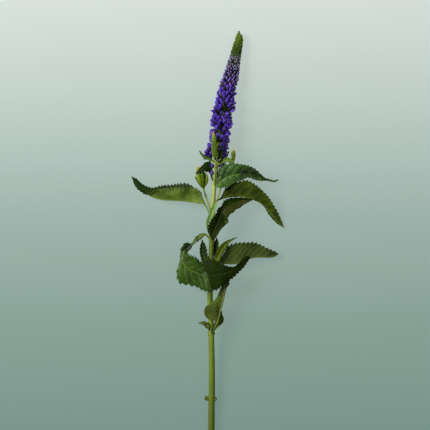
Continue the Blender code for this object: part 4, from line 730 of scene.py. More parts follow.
def sheet(name, net):
    """A grid laid on a net of points in mm, and the number that each of its points has there."""
    rows, columns = net.shape[0] - 1, net.shape[1] - 1
    clear_selection()
    bpy.ops.mesh.primitive_grid_add(x_subdivisions=columns, y_subdivisions=rows, size=2.0)
    piece = named(bpy.context.object, name)
    flat = (points_of(piece) * MM + 1.0) / 2.0
    column = np.rint(flat[:, 0] * columns).astype(int)
    row = np.rint(flat[:, 1] * rows).astype(int)
    order = row * (columns + 1) + column
    move_points(piece, net.reshape(-1, 3)[order])
    return piece, order


def ball(name, sides, rings, place):
    """A ball whose rings, from one pole to the other, are laid by place(ring, angle) in mm."""
    clear_selection()
    bpy.ops.mesh.primitive_uv_sphere_add(segments=sides, ring_count=rings, radius=1.0)
    piece = named(bpy.context.object, name)
    ring_marks = []
    for vertex in piece.data.vertices:
        ring = round(math.acos(max(-1.0, min(1.0, -vertex.co.z))) / math.pi * rings)
        vertex.co = Vector(place(ring, math.atan2(vertex.co.y, vertex.co.x))) * MM
        ring_marks.append(ring / rings)
    mark(piece, "reach", ring_marks)
    return piece


def tube(name, route, radii, sides, places, relief=None):
    """A closed tube along a route; relief(ring, angle) scales its radius."""
    line = vectors(route)
    frames = [tube_frame(line, u) for u in places]
    last = len(places) - 1

    def place(ring, angle):
        here, up, level, _ = frames[min(max(ring - 1, 0), last)]
        if ring in (0, last + 2):
            return here
        reach = curve_number(radii, places[ring - 1]) * (relief(ring - 1, angle) if relief else 1.0)
        return here + up * (reach * math.cos(angle)) + level * (reach * math.sin(angle))

    return ball(name, sides, last + 2, place)


def mark(piece, name, values):
    """Stores one number for each point of the piece, for its material to read."""
    kept = piece.data.attributes.get(name) or piece.data.attributes.new(name, "FLOAT", "POINT")
    kept.data.foreach_set("value", np.asarray(values, dtype=np.float32))


def thicken(piece, thickness, under=0):
    """Gives a sheet its thickness in mm, away from its upper side; under is the new side's slot."""
    only(piece)
    wall = piece.modifiers.new("thickness", "SOLIDIFY")
    wall.thickness = thickness * MM
    wall.offset = -1.0
    wall.material_offset = under
    wall.material_offset_rim = under
    bpy.ops.object.modifier_apply(modifier=wall.name)


def twin(base, matrix, **numbers):
    """A copy of the base with its own mesh, put in place, with its own numbers for the material."""
    copy = base.copy()
    copy.data = base.data.copy()
    copy.data.transform(matrix)
    bpy.context.collection.objects.link(copy)
    for name, value in numbers.items():
        mark(copy, name, np.full(len(copy.data.vertices), value))
    return copy


def joined(name, parts):
    """Joins the parts into one piece."""
    clear_selection()
    for part in parts:
        part.select_set(True)
    bpy.context.view_layer.objects.active = parts[0]
    bpy.ops.object.join()
    return named(bpy.context.object, name)


def removed(*pieces):
    """Takes the pieces that were only copied out of the scene."""
    for piece in pieces:
        bpy.data.objects.remove(piece, do_unlink=True)


def finished(piece, slot, *nodes, sharp=50.0):
    """Shades the piece and hands it to the frame, and hides the nodes it stands for; the slot is not used.
    """
    only(piece)
    bpy.ops.object.shade_smooth_by_angle(angle=math.radians(sharp))
    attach(piece, "root")
    if nodes:
        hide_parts(*nodes)
    return piece


# Materials


def put(tree, socket, value):
    """Sets a socket to a value, or links it to another socket."""
    if isinstance(value, bpy.types.NodeSocket):
        tree.links.new(value, socket)
    elif hasattr(value, "__len__") and len(value) == 3 and len(socket.default_value) == 4:
        socket.default_value = (*value, 1.0)
    else:
        socket.default_value = value


def add(tree, kind, settings=None, **sockets):
    """Adds a shader node. Sockets go by their names, with _ for a space."""
    made = tree.nodes.new("ShaderNode" + kind)
    for name, value in (settings or {}).items():
        setattr(made, name, value)
    for name, value in sockets.items():
        put(tree, made.inputs[name.replace("_", " ")], value)
    return made


def on_object(tree, stretch=(1.0, 1.0, 1.0)):
    """Object coordinates, stretched along the axes."""
    coordinates = add(tree, "TexCoord").outputs["Object"]
    return add(tree, "Mapping", Vector=coordinates, Scale=stretch).outputs[0]


def clouds(tree, scale, detail=3.0, stretch=(1.0, 1.0, 1.0)):
    """Soft random pattern; the scale counts its blots along a metre."""
    return add(tree, "TexNoise", Vector=on_object(tree, stretch), Scale=scale, Detail=detail).outputs[0]


def between(tree, value, low, high, start=0.0, end=1.0):
    """Value that goes smoothly from start at low to end at high."""
    made = add(tree, "MapRange", {"interpolation_type": "SMOOTHSTEP"}, Value=value,
               From_Min=low, From_Max=high, To_Min=start, To_Max=end)
    return made.outputs[0]


def net_of_lines(tree, scale):
    """Fine net, 1 in its meshes and 0 on its lines; the scale counts the meshes along a metre."""
    cells = add(tree, "TexVoronoi", {"feature": "DISTANCE_TO_EDGE"}, Vector=on_object(tree), Scale=scale)
    return between(tree, cells.outputs["Distance"], 0.0, 0.14)


def number(tree, name):
    """A number that the piece's points carry."""
    return add(tree, "Attribute", {"attribute_name": name}).outputs["Fac"]


def minus(tree, first, second):
    """What is left of the first value without the second."""
    made = add(tree, "Math", {"operation": "SUBTRACT"})
    put(tree, made.inputs[0], first)
    put(tree, made.inputs[1], second)
    return made.outputs[0]


def mixed(tree, factor, first, second):
    """Colour that goes from the first at factor 0 to the second at 1."""
    made = add(tree, "Mix", {"data_type": "RGBA"})
    for index, value in ((0, factor), (6, first), (7, second)):
        put(tree, made.inputs[index], value)
    return made.outputs[2]


def new_finish(name, roughness, sheen=0.0, gloss=0.25):
    """New material, its node tree and its shader."""
    finish = bpy.data.materials.new(name)
    finish.use_nodes = True
    shader = finish.node_tree.nodes["Principled BSDF"]
    shader.inputs["Roughness"].default_value = roughness
    shader.inputs["Sheen Weight"].default_value = sheen
    shader.inputs["Specular IOR Level"].default_value = gloss
    return finish, finish.node_tree, shader


def coloured(tree, shader, colour):
    """Gives the shader its colour, or links it to one."""
    put(tree, shader.inputs["Base Color"], colour)


def bumped(tree, shader, height, strength, distance=0.12):
    """Relief that is too fine for the mesh; the distance is in mm."""
    made = add(tree, "Bump", Height=height, Strength=abs(strength), Distance=distance * MM)
    made.invert = strength < 0
    put(tree, shader.inputs["Normal"], made.outputs[0])


def leaf_upper(name, dark, light, vein, roughness, gloss):
    """Upper side of a leaf: two greens in soft blots, paler veins and a fine net between them."""
    finish, tree, shader = new_finish("leaf upper side " + name, roughness, gloss=gloss)
    ground = mixed(tree, between(tree, clouds(tree, 70.0), *LEAF_BLOTS), dark, light)
    mottled = mixed(tree, between(tree, clouds(tree, 420.0), 0.3, 0.75, 0.0, 0.4), ground, light)
    meshes = net_of_lines(tree, 900.0)
    netted = mixed(tree, between(tree, meshes, 0.0, 1.0, 0.08, 0.0), mottled, vein)
    veined = mixed(tree, between(tree, number(tree, "vein"), 0.3, 1.0, 0.0, 0.8), netted, vein)
    footed = mixed(tree, between(tree, number(tree, "along"), 0.0, 0.16, 0.6, 0.0), veined, vein)
    # painted shade and painted light, where the leaf's table puts them
    painted_light_and_shade = number(tree, "painted_light_and_shade")
    shaded = mixed(tree, between(tree, painted_light_and_shade, *PAINTED_SHADE_FADE), footed, PAINTED_SHADE)
    coloured(tree, shader, mixed(tree, between(tree, painted_light_and_shade, *PAINTED_LIGHT_FADE), shaded, PAINTED_LIGHT))
    put(tree, shader.inputs["Roughness"],
        between(tree, clouds(tree, 300.0), 0.3, 0.7, roughness - 0.07, roughness + 0.1))
    bumped(tree, shader, meshes, 0.14)
    return finish


def leaf_under(name, dark, light, vein):
    """Underside of a leaf: dull, with a raised paler net of veins."""
    finish, tree, shader = new_finish("leaf underside " + name, 0.6, gloss=0.1)
    ground = mixed(tree, between(tree, clouds(tree, 80.0), *LEAF_BLOTS), dark, light)
    meshes = net_of_lines(tree, 760.0)
    netted = mixed(tree, between(tree, meshes, 0.0, 1.0, 0.1, 0.0), ground, vein)
    veined = mixed(tree, between(tree, number(tree, "vein"), 0.25, 1.0, 0.0, 0.8), netted, vein)
    # painted shade on the underside, in brown, where the leaf's table puts it
    painted_under_shade = between(tree, number(tree, "painted_light_and_shade"), *PAINTED_SHADE_FADE)
    coloured(tree, shader, mixed(tree, painted_under_shade, veined, PAINTED_UNDER_SHADE))
    bumped(tree, shader, meshes, -0.16)
    return finish


def leaf_finishes(table):
    """The finishes of a table of leaf colours, by name."""
    made = {}
    for name, (dark, light, vein, *surface) in table.items():
        make = leaf_upper if surface else leaf_under
        made[name] = make(name, srgb(*dark), srgb(*light), srgb(*vein), *surface)
    return made


def stem_skin(settings):
    """Stem: olive at the foot, darker between the leaves with their painted shade, yellower at the top,
    streaked and specked.
    """
    finish, tree, shader = new_finish("stem skin", 0.5)
    height = add(tree, "SeparateXYZ", Vector=on_object(tree)).outputs["Y"]
    middle = between(tree, height, *STEM_MIDDLE_FADE)
    lower = mixed(tree, middle, settings.foot_colour, settings.middle_colour)
    # painted shade that the leaves cast on the stem, between them
    shaded = mixed(tree, between(tree, height, *STEM_SHADE_FADE, 0.0, 0.8), lower, settings.shade_colour)
    graded = mixed(tree, between(tree, height, *STEM_TOP_FADE), shaded, settings.top_colour)
    streaks = between(tree, clouds(tree, 900.0, 4.0, (1.0, 0.04, 1.0)), *SOFT_BLOTS, 0.0, 0.5)
    streaked = mixed(tree, streaks, graded, settings.foot_colour)
    specks = between(tree, clouds(tree, 650.0, 2.0, (1.0, 0.45, 1.0)), 0.70, 0.76, 0.0, 0.7)
    coloured(tree, shader, mixed(tree, specks, streaked, srgb(72, 52, 28)))
    bumped(tree, shader, clouds(tree, 1400.0, stretch=(1.0, 0.06, 1.0)), 0.3, 0.2)
    return finish


def dried_scar():
    """Dried tissue of the old leaf scars."""
    finish, tree, shader = new_finish("dried scar", 0.85)
    grain = between(tree, clouds(tree, 1800.0), *GRAIN)
    coloured(tree, shader, mixed(tree, grain, srgb(70, 48, 26), srgb(122, 96, 52)))
    bumped(tree, shader, grain, 0.5, 0.3)
    return finish


def cut_pith():
    """The cut foot: moist pale pith in a greener ring."""
    finish, tree, shader = new_finish("cut pith", 0.45)
    spots = between(tree, clouds(tree, 2600.0), *GRAIN)
    pith = mixed(tree, spots, srgb(176, 186, 138), srgb(206, 210, 170))
    ring = between(tree, number(tree, "reach"), 0.006, 0.0135)
    coloured(tree, shader, mixed(tree, ring, pith, srgb(110, 126, 58)))
    bumped(tree, shader, spots, 0.3, 0.15)
    return finish


def petal_velvet(settings):
    """Violet petals: darker in the throat with painted shade, lighter at the tips with a painted highlight,
    each floret in its own tone.
    """
    finish, tree, shader = new_finish("violet petals", 0.42, 0.2, 0.4)
    reach = number(tree, "reach")
    tone = between(tree, number(tree, "tone"), 0.0, 1.0)
    body = mixed(tree, tone, settings.petal_dark, settings.petal_light)
    # a painted highlight at the rims of the petals, and painted shade in the throat
    rim = mixed(tree, between(tree, reach, 0.55, 1.0, 0.0, 0.55), body, settings.petal_highlight)
    throat = mixed(tree, between(tree, reach, 0.0, 0.4, 0.75, 0.0), rim, srgb(40, 18, 84))
    streaks = between(tree, clouds(tree, 2200.0, 2.0), 0.4, 0.7, 0.0, 0.3)
    coloured(tree, shader, mixed(tree, streaks, throat, settings.petal_dark))
    shader.inputs["Sheen Roughness"].default_value = 0.4
    shader.inputs["Sheen Tint"].default_value = (0.6, 0.5, 1.0, 1.0)
    bumped(tree, shader, clouds(tree, 2600.0), 0.3)
    return finish


def violet_bud(settings):
    """Closed buds: green at the foot, violet above, paler the nearer they are to the tip."""
    finish, tree, shader = new_finish("violet buds", 0.42, 0.15, 0.4)
    age, tone = number(tree, "age"), number(tree, "tone")
    body = mixed(tree, between(tree, tone, 0.0, 1.0), settings.petal_dark, settings.petal_light)
    tip = mixed(tree, between(tree, age, 0.42, 0.75), body, settings.bud_colour)
    faded = mixed(tree, between(tree, tone, 0.95, 0.97, 0.0, 0.6), tip, srgb(160, 98, 150))
    start = between(tree, age, 0.35, 0.76, 0.1, 0.7)
    share = between(tree, minus(tree, number(tree, "reach"), start), -0.08, 0.12)
    coloured(tree, shader, mixed(tree, share, srgb(34, 48, 16), faded))
    bumped(tree, shader, clouds(tree, 2400.0), 0.25)
    return finish


def green_bud(name, low, high, tip, grading, end=None, blush=None):
    """Unripe buds: darker at their feet with painted shade, lighter at their tops with a painted highlight,
    and brighter towards the end of their spike.

    The end colour is that of the spike's last buds, and blush that of the tips of its first ones.
    """
    finish, tree, shader = new_finish(name, 0.55, 0.1)
    age, reach = number(tree, "age"), number(tree, "reach")
    # painted shade at the feet of the buds, and a painted highlight at their tops
    own = mixed(tree, between(tree, reach, 0.15, 0.9), low, high)
    graded = mixed(tree, between(tree, age, *grading, 0.0, 0.9), own, tip)
    varied = mixed(tree, between(tree, number(tree, "tone"), 0.0, 1.0, 0.0, 0.3), graded, high)
    ended = mixed(tree, between(tree, age, 0.965, 0.99), varied, end or tip)
    if blush:
        rim = between(tree, minus(tree, reach, between(tree, age, 0.74, 0.86, 0.0, 0.6)), 0.55, 0.75)
        ended = mixed(tree, rim, ended, blush)
    coloured(tree, shader, ended)
    bumped(tree, shader, clouds(tree, 2400.0), 0.25)
    return finish


def bract_green():
    """Bracts round a side spike: each in its own green, with paler veins and yellow tips."""
    finish, tree, shader = new_finish("side bracts", 0.5, gloss=0.15)
    own = mixed(tree, number(tree, "tone"), srgb(34, 52, 4), srgb(112, 140, 16))
    veined = mixed(tree, between(tree, number(tree, "vein"), 0.3, 1.0, 0.0, 0.4), own, srgb(136, 156, 42))
    tipped = mixed(tree, between(tree, number(tree, "reach"), 0.78, 0.96), veined, srgb(190, 184, 64))
    blots = between(tree, clouds(tree, 700.0), *SOFT_BLOTS, 0.0, 0.3)
    coloured(tree, shader, mixed(tree, blots, tipped, own))
    bumped(tree, shader, clouds(tree, 2200.0), 0.2)
    return finish


def calyx_green(name, dark, light):
    """Small green parts with a fine down: calyces, stalks and the spike's own axis."""
    finish, tree, shader = new_finish(name, 0.6, 0.08, 0.2)
    own = mixed(tree, between(tree, number(tree, "reach"), 0.2, 1.0), dark, light)
    blots = between(tree, clouds(tree, 900.0), *SOFT_BLOTS, 0.0, 0.5)
    coloured(tree, shader, mixed(tree, blots, own, dark))
    bumped(tree, shader, clouds(tree, 2200.0), 0.3)
    return finish


def stamen_finish():
    """Violet threads with pale pollen at their ends."""
    finish, tree, shader = new_finish("stamens", 0.55)
    pollen = between(tree, number(tree, "reach"), 0.55, 0.7)
    grain = between(tree, clouds(tree, 5000.0), *GRAIN)
    dust = mixed(tree, grain, srgb(120, 100, 150), srgb(196, 188, 206))
    coloured(tree, shader, mixed(tree, pollen, srgb(92, 62, 170), dust))
    return finish


# Leaves


def leaf_rails(petiole, rows, tip):
    """Curves that run from the leaf's foot to its tip: one for each point of a row."""
    count = len(rows[0])
    across = (Vector(rows[0][-1]) - Vector(rows[0][0])).normalized()
    rails = []
    for k in range(count):
        shift = across * ((k / (count - 1) - 0.5) * PETIOLE_WIDTH)
        foot = [point + shift for point in vectors(petiole)]
        rails.append(foot + [Vector(row[k]) for row in rows] + [Vector(tip)])
    return rails


def across_point(row, t):
    """Point of a row: t runs from -1 at the left edge over 0 at the midrib to 1 at the right."""
    if t <= 0:
        return row[1].lerp(row[0], -t)
    if len(row) == 3:
        return row[1].lerp(row[2], t)
    return curve_point(row[1:], t * (len(row) - 2))


def saw_edges(net, spans, foot_steps, along, sides, draw):
    """Cuts forward-leaning teeth into the edges of a leaf's net: -1 is the left side, 1 the right."""
    counted = (np.arange(len(net)) - foot_steps) / ROWS_A_TOOTH
    tooth = np.maximum(np.floor(counted).astype(int), 0)
    share = counted % 1.0
    peak = (ROWS_A_TOOTH - 1) / ROWS_A_TOOTH
    saw = np.where(share <= peak, share / peak, (1 - share) / (1 - peak)) - 0.5
    middle = net[:, len(spans) // 2].copy()
    fade = np.clip(along / 0.10, 0, 1) * np.clip((1 - along) / 0.08, 0, 1) * (counted > 0)
    for side in sides:
        columns = np.where(spans * side > TOOTH_REACH)[0]
        edge = net[:, 0 if side < 0 else -1].copy()
        sizes = np.array([draw.uniform(0.55, 1.15) for _ in range(tooth.max() + 1)])
        room = np.linalg.norm(edge - middle, axis=1) * 0.3
        depth = np.minimum(TOOTH_DEPTH, room) * fade * sizes[tooth]
        climb = np.gradient(edge, axis=0)
        outward = unit(edge - middle) * (saw * depth)[:, None]
        forward = climb * ((saw + 0.5) * 0.8 * fade)[:, None]
        weight = ((np.abs(spans[columns]) - TOOTH_REACH) / (1 - TOOTH_REACH)) ** 1.4
        net[:, columns] += (outward + forward)[:, None, :] * weight[None, :, None]


def leaf_net(petiole, rows, tip, widest, teeth):
    """Net of points on a leaf's rails, the spans of its columns, and how many rows its stalk takes."""
    rails = leaf_rails(petiole, rows, tip)
    foot, last = len(petiole), len(rails[0]) - 1
    marks = [foot + (last - foot) * k / EDGE_STEPS for k in range(EDGE_STEPS + 1)]
    edge_length = route_length([curve_point(rails[0], mark_at) for mark_at in marks])
    steps = max(12, round(edge_length / PLAIN_ROW_PITCH))
    if teeth:
        steps = max(4, round(edge_length / TOOTH_PITCH)) * ROWS_A_TOOTH
    foot_steps = max(4, round(route_length(vectors(petiole)) / FOOT_ROW_PITCH))
    places = even_places(rails, 0, foot, foot_steps)[:-1]
    places += even_places(rails, foot, last - TIP_GAP, steps)
    half = min(MOST_COLUMNS, max(6, round(widest / COLUMN_PITCH)))
    spans = np.linspace(-1.0, 1.0, 2 * half + 1)
    lines = [[curve_point(rail, u) for rail in rails] for u in places]
    net = np.array([[across_point(line, t) for t in spans] for line in lines])
    return net, spans, foot_steps


def leaf_relief(net, spans, travelled, along, size, relief, settings, draw):
    """Midrib, side veins and blade of a leaf, each from 0 to 1, and how far it is lifted, in mm."""
    middle = net[:, len(spans) // 2]
    length = travelled[-1]
    left = np.linalg.norm(net[:, 0] - middle, axis=1)
    right = np.linalg.norm(net[:, -1] - middle, axis=1)
    width = np.where(spans[None, :] < 0, left[:, None], right[:, None])
    reach = np.abs(spans)[None, :]
    off_rib = reach * width
    s = travelled[:, None]
    blade = smooth_step(0.0, min(4.0, length * 0.2), s)
    pitch = min(MOST_VEIN_PITCH, max(LEAST_VEIN_PITCH, length / VEINS_A_SIDE))
    left_side = np.where(spans < 0, 1.0, 0.0)[None, :]
    phase = (s - VEIN_LEAN * off_rib - VEIN_BEND * off_rib ** 2) / pitch + 0.5 * left_side
    near = np.abs(phase - np.round(phase)) * pitch * 0.75
    inner = 1.0 - smooth_step(0.7, 0.98, reach)
    vein = np.exp(-(near / VEIN_WIDTH) ** 2) * inner * blade * smooth_step(0.0, 1.0, off_rib) * size
    rib = np.exp(-(off_rib / (0.62 - 0.34 * along[:, None])) ** 2)
    swell = np.sin(np.pi * phase) ** 2 * np.sin(np.pi * reach) ** 0.7
    wave = np.sin(2 * np.pi * s / (pitch * 2.2) + draw.uniform(0, 6.28) + 2.1 * left_side)
    lift = (settings.quilt_height / MM * swell * blade * size * relief
            - settings.vein_depth / MM * vein * relief
            - RIB_DEPTH * rib * blade
            + ARCH_SHARE * width * np.sin(np.pi * reach)
            + WAVE_HEIGHT * size * wave * reach ** 2 * blade * (1 - along[:, None] * 0.6))
    return rib, vein, blade, lift


def painted_light_strengths(points, patches):
    """Strength of the painted shade and light at each point, where the strongest one counts."""
    strengths = np.zeros(len(points))
    for x, y, radius, strength in patches:
        here = strength * np.exp(-((points[:, 0] - x) ** 2 + (points[:, 1] - y) ** 2) / radius ** 2)
        strengths = np.where(np.abs(strengths) > np.abs(here), strengths, here)
    return strengths


def swell_underside(piece, upper, normals, bulge):
    """Stands the ribs out of a thickened blade's underside, and keeps it above the surface."""
    points = points_of(piece)
    count = len(upper)
    sides = [slice(0, count), slice(count, 2 * count)]
    drops = [float(((points[side] - upper) * normals).sum()) for side in sides]
    under = sides[int(np.argmin(drops))]
    points[under] -= normals * bulge[:, None]
    points[:, 2] = np.maximum(points[:, 2], UNDER_FLOOR)
    move_points(piece, points)


def leaf(name, settings, finishes, slot, petiole, rows, tip, teeth=(-1, 1)):
    """Fine leaf: a toothed, veined and quilted sheet on the rails of its node, made thick."""
    draw = random.Random(name)
    relief = LEAF_RELIEF.get(name, 1.0)
    widest = max((Vector(row[k]) - Vector(row[1])).length for row in rows for k in (0, -1))
    net, spans, foot_steps = leaf_net(petiole, rows, tip, widest, teeth)
    middle = net[:, len(spans) // 2]
    travelled = np.concatenate(([0.0], np.cumsum(np.linalg.norm(np.diff(middle, axis=0), axis=1))))
    travelled -= travelled[foot_steps]
    along = np.clip(travelled / travelled[-1], 0.0, 1.0)
    if teeth:
        saw_edges(net, spans, foot_steps, along, teeth, draw)

    size = min(1.0, widest / FULL_RELIEF_WIDTH)
    rib, vein, blade, lift = leaf_relief(net, spans, travelled, along, size, relief, settings, draw)
    normals = unit(np.cross(np.gradient(net, axis=1), np.gradient(net, axis=0)))
    net = net + normals * lift[:, :, None]
    net[:, :, 2] = np.maximum(net[:, :, 2], UPPER_FLOOR)

    piece, order = sheet(name + "_blade", net)
    upper = net.reshape(-1, 3)[order]
    shown = np.maximum(rib * (0.55 + 0.45 * blade), (0.3 + 0.45 * relief) * vein)
    mark(piece, "vein", shown.ravel()[order])
    mark(piece, "along", np.repeat(along, len(spans))[order])
    # painted shade and painted light of this leaf, for its materials
    mark(piece, "painted_light_and_shade", painted_light_strengths(upper, LEAF_PAINTED_SHADE_AND_LIGHT.get(name, ())))
    for finish in finishes:
        piece.data.materials.append(finish)
    thicken(piece, settings.blade_thickness / MM, under=1)
    bulge = ((0.62 - 0.5 * along[:, None]) * rib + 0.12 * vein).ravel()[order]
    swell_underside(piece, upper, normals.reshape(-1, 3)[order], bulge)
    return finished(piece, slot, name, sharp=70.0)


# Stem


def stem(settings):
    """The stem: ridged, swollen at its joints, cut off at a slant, with scars near the foot."""
    line = vectors(STEM_ROUTE)
    places = even_places([line], 0, len(line) - 1, STEM_RINGS)
    frames = [tube_frame(line, u) for u in places]
    foot = len(CUT_SHARES)

    def place(ring, angle):
        """Point of the body: the rings of the cut face come first, and the tip last."""
        k = min(max(ring - foot, 0), STEM_RINGS)
        here, up, level, ahead = frames[k]
        if ring > STEM_RINGS + foot:
            return here + ahead * 0.1
        radius = curve_number(STEM_RADII, places[k])
        swell = sum(math.exp(-((here.y - joint) / JOINT_LENGTH) ** 2) for joint in STEM_JOINTS)
        ridges = math.cos(4 * angle + 0.5) + 0.5 * math.cos(9 * angle)
        radius *= 1.0 + JOINT_SWELL * swell + settings.ridge_depth / MM * ridges / radius
        if ring < foot:
            radius *= CUT_SHARES[ring]
        point = here + up * (radius * math.cos(angle)) + level * (radius * math.sin(angle))
        if k == 0:
            point += ahead * (FOOT_SLANT * radius * math.sin(angle))
        return point

    rings = STEM_RINGS + foot + 1
    body = ball("stem_skin", STEM_SIDES, rings, place)
    for finish in (stem_skin(settings), cut_pith(), dried_scar()):
        body.data.materials.append(finish)
    marks = body.data.attributes["reach"].data
    for polygon in body.data.polygons:
        if max(marks[v].value for v in polygon.vertices) < (foot + 0.5) / rings:
            polygon.material_index = 1
    stubs = [stem_stub(k, *stub) for k, stub in enumerate(STEM_STUBS)]
    for stub in stubs:
        for finish in body.data.materials:
            stub.data.materials.append(finish)
    return finished(joined("stem_skin", [body] + stubs), "stem", "stem")


def stem_stub(k, root, end, root_radius, end_radius):
    """What is left of an old leaf stalk, or a dormant bud: a short cone with a dried end."""
    radii = [end_radius + (root_radius - end_radius) * size for size in STUB_SIZES]
    route = vectors((root, end))
    last = len(STUB_PLACES)

    def place(ring, angle):
        """Point of the stub, whose root and dried end close in a pole each."""
        step = min(max(ring - 1, 0), last - 1)
        here, up, level, _ = tube_frame(route, STUB_PLACES[step])
        if ring in (0, last + 1):
            return here
        rough = 1.0 + 0.1 * math.sin(3 * angle + k) + 0.06 * math.sin(7 * angle)
        reach = radii[step] * rough
        return here + up * (reach * math.cos(angle)) + level * (reach * math.sin(angle))

    stub = ball(f"stem_stub_{k}", STUB_SIDES, last + 1, place)
    marks = stub.data.attributes["reach"].data
    for polygon in stub.data.polygons:
        if sum(marks[v].value for v in polygon.vertices) / len(polygon.vertices) > 0.5:
            polygon.material_index = 2
    return stub


# Florets and buds


def corolla(name, flare, curl, seed):
    """One floret: a short tube that opens in four cupped lobes, one broader and one narrower."""
    draw = random.Random(seed)
    quarters = []
    for k, breadth in enumerate(LOBE_BREADTHS):
        net = np.zeros((TUBE_ROWS + LOBE_ROWS + 1, LOBE_COLUMNS + 1, 3))
        lean_more = draw.uniform(-0.15, 0.15)
        for row in range(len(net)):
            m = max(0, row - TUBE_ROWS) / LOBE_ROWS
            if row <= TUBE_ROWS:
                share = row / TUBE_ROWS
                radius, level = TUBE_RADIUS + 0.5 * share ** 1.6, TUBE_LENGTH * share
            else:
                lean = (flare + lean_more) * math.sin(min(1.0, 1.7 * m) * math.pi / 2) + curl * m * m
                radius += LOBE_LENGTH / LOBE_ROWS * math.sin(lean)
                level += LOBE_LENGTH / LOBE_ROWS * math.cos(lean)
            for column in range(LOBE_COLUMNS + 1):
                across = 2 * column / LOBE_COLUMNS - 1
                half = LOBE_WIDTH / 2 * breadth * math.sqrt(max(0.06, 1 - ((m - 0.4) / 0.62) ** 2))
                widest = min(half / max(radius, 0.8), math.pi / 4 * 1.15)
                angle = across * (math.pi / 4 + (widest - math.pi / 4) * min(1.0, 2.5 * m))
                fold = 0.3 * half * across * across * math.sin(math.pi * m)
                net[row, column] = (radius * math.cos(angle), radius * math.sin(angle), level + fold)
        quarter, order = sheet(f"{name}_{k}", net)
        rows_reach = np.repeat(np.linspace(0.0, 1.0, len(net)), LOBE_COLUMNS + 1)
        mark(quarter, "reach", rows_reach[order])
        quarter.data.transform(Matrix.Rotation(k * math.pi / 2, 4, "Z"))
        quarters.append(quarter)
    floret = joined(name, quarters)
    only(floret)
    bpy.ops.object.mode_set(mode="EDIT")
    bpy.ops.mesh.select_all(action="SELECT")
    bpy.ops.mesh.remove_doubles(threshold=0.01 * MM)
    bpy.ops.object.mode_set(mode="OBJECT")
    thicken(floret, PETAL_THICKNESS)
    return floret


def profile_ball(name, sides, profile, lobes=0):
    """A small body of revolution along +Z; lobes say how far its sides stand out in turn."""
    def place(ring, angle):
        radius, level, lobe = profile[ring]
        reach = radius * (1.0 + lobe * math.cos(lobes * angle))
        rise = level * (1.0 + 0.35 * lobe * math.cos(lobes * angle)) if lobes else level
        return reach * math.cos(angle), reach * math.sin(angle), rise

    return ball(name, sides, len(profile) - 1, place)


def floret_parts():
    """One of each small part of the spike, standing along +Z in millimetres."""
    return {
        "open": corolla("floret_open", 1.0, 0.0, 1),
        "half_open": corolla("floret_half_open", 0.75, -0.9, 2),
        "cupped": corolla("floret_cupped", 0.5, -1.3, 3),
        "bud": profile_ball("bud_shape", 10, (
            (0, 0, 0), (0.36, 0.04, 0), (0.5, 0.2, 0.03), (0.66, 0.38, 0.04), (0.88, 0.56, 0.05),
            (1.0, 0.7, 0.06), (0.97, 0.83, 0.08), (0.74, 0.94, 0.1), (0.36, 0.99, 0.05), (0, 0.985, 0)), 4),
        "stalk": profile_ball("stalk_shape", 5, ((0, 0, 0), (1.0, 0.02, 0), (0.9, 0.6, 0), (0, 1.0, 0))),
        "calyx": profile_ball("calyx_shape", 8, (
            (0, 0, 0), (0.3, 0.03, 0), (0.68, 0.4, 0.04), (0.95, 1.0, 0.08), (1.08, 1.5, 0.12),
            (1.02, 1.95, 0.3), (0.86, 1.75, 0.2), (0.5, 0.9, 0), (0, 0.8, 0)), 4),
        "scale": profile_ball("scale_shape", 6, (
            (0, 0, 0), (0.6, 0.1, 0), (0.95, 0.35, 0.05), (1.0, 0.58, 0.05), (0.72, 0.82, 0.05),
            (0.3, 0.96, 0), (0, 1.0, 0)), 3),
        "stamen": profile_ball("stamen_shape", 5, (
            (0, 0, 0), (0.09, 0.1, 0), (0.08, 1.4, 0), (0.07, 2.7, 0), (0.2, 2.85, 0),
            (0.22, 3.15, 0), (0.12, 3.35, 0), (0, 3.4, 0))),
    }


def spiral(route, radii, start, end, spacings):
    """Places along a spike, in a spiral, that keep the spacing of each point round its outline."""
    marks = np.linspace(start, end, 600)
    spots, total = [], 0.0
    here = curve_point(route, start)
    for mark_before, mark_after in zip(marks, marks[1:]):
        there = curve_point(route, mark_after)
        gap = curve_number(spacings, mark_after)
        around = 2 * math.pi * curve_number(radii, mark_after) * COVERED_SHARE
        total += around * (there - here).length / gap ** 2
        here = there
        while total >= len(spots) + 1:
            spots.append(float(mark_before))
    return spots


def stand(root, out, ahead, turn, size):
    """Matrix that stands a small part, made along +Z in mm, on its root along out."""
    level = out.cross(ahead).normalized()
    other = out.cross(level).normalized()
    basis = Matrix((level, other, out)).transposed().to_4x4()
    moved = Matrix.Translation(Vector(root) * MM) @ basis @ Matrix.Rotation(turn, 4, "Z")
    return moved @ Matrix.Diagonal((*size, 1.0))


def one_floret(made, parts, kind, spot, reach, spacing, numbers):
    """One floret or bud: its stalk and calyx, its petals, and stamens where it is open."""
    root, out, ahead, turn = spot
    place = numbers["age"] * (len(SPIKE_ROUTE) - 1)
    length = min(LONGEST_SHARE * reach, spacing * curve_number(BUD_LENGTHS, place))
    foot = root + out * (reach - length)

    def lay(group, part, spot_at, aim, size):
        made[group].append(twin(parts[part], stand(spot_at, aim, ahead, turn, size), **numbers))

    cup = CALYX_SHARE * spacing
    lay("calyces", "stalk", root, out, (STALK_RADIUS, STALK_RADIUS, reach - length))
    lay("calyces", "calyx", foot - out * (0.45 * cup), out, (cup, cup, cup))
    if kind == "bud":
        stout = spacing * curve_number(BUD_STOUTNESS, place)
        lay("buds", "bud", foot, out, (stout, stout, length))
        return
    size = length / FLORET_LENGTHS[kind]
    lay("corollas", kind, foot, out, (size, size, size))
    if kind == "open":
        level = out.cross(ahead).normalized()
        for lean in (-STAMEN_LEAN, STAMEN_LEAN):
            aim = (out + level * lean).normalized()
            lay("stamens", "stamen", foot + out * (0.6 * size), aim, (size, size, size))


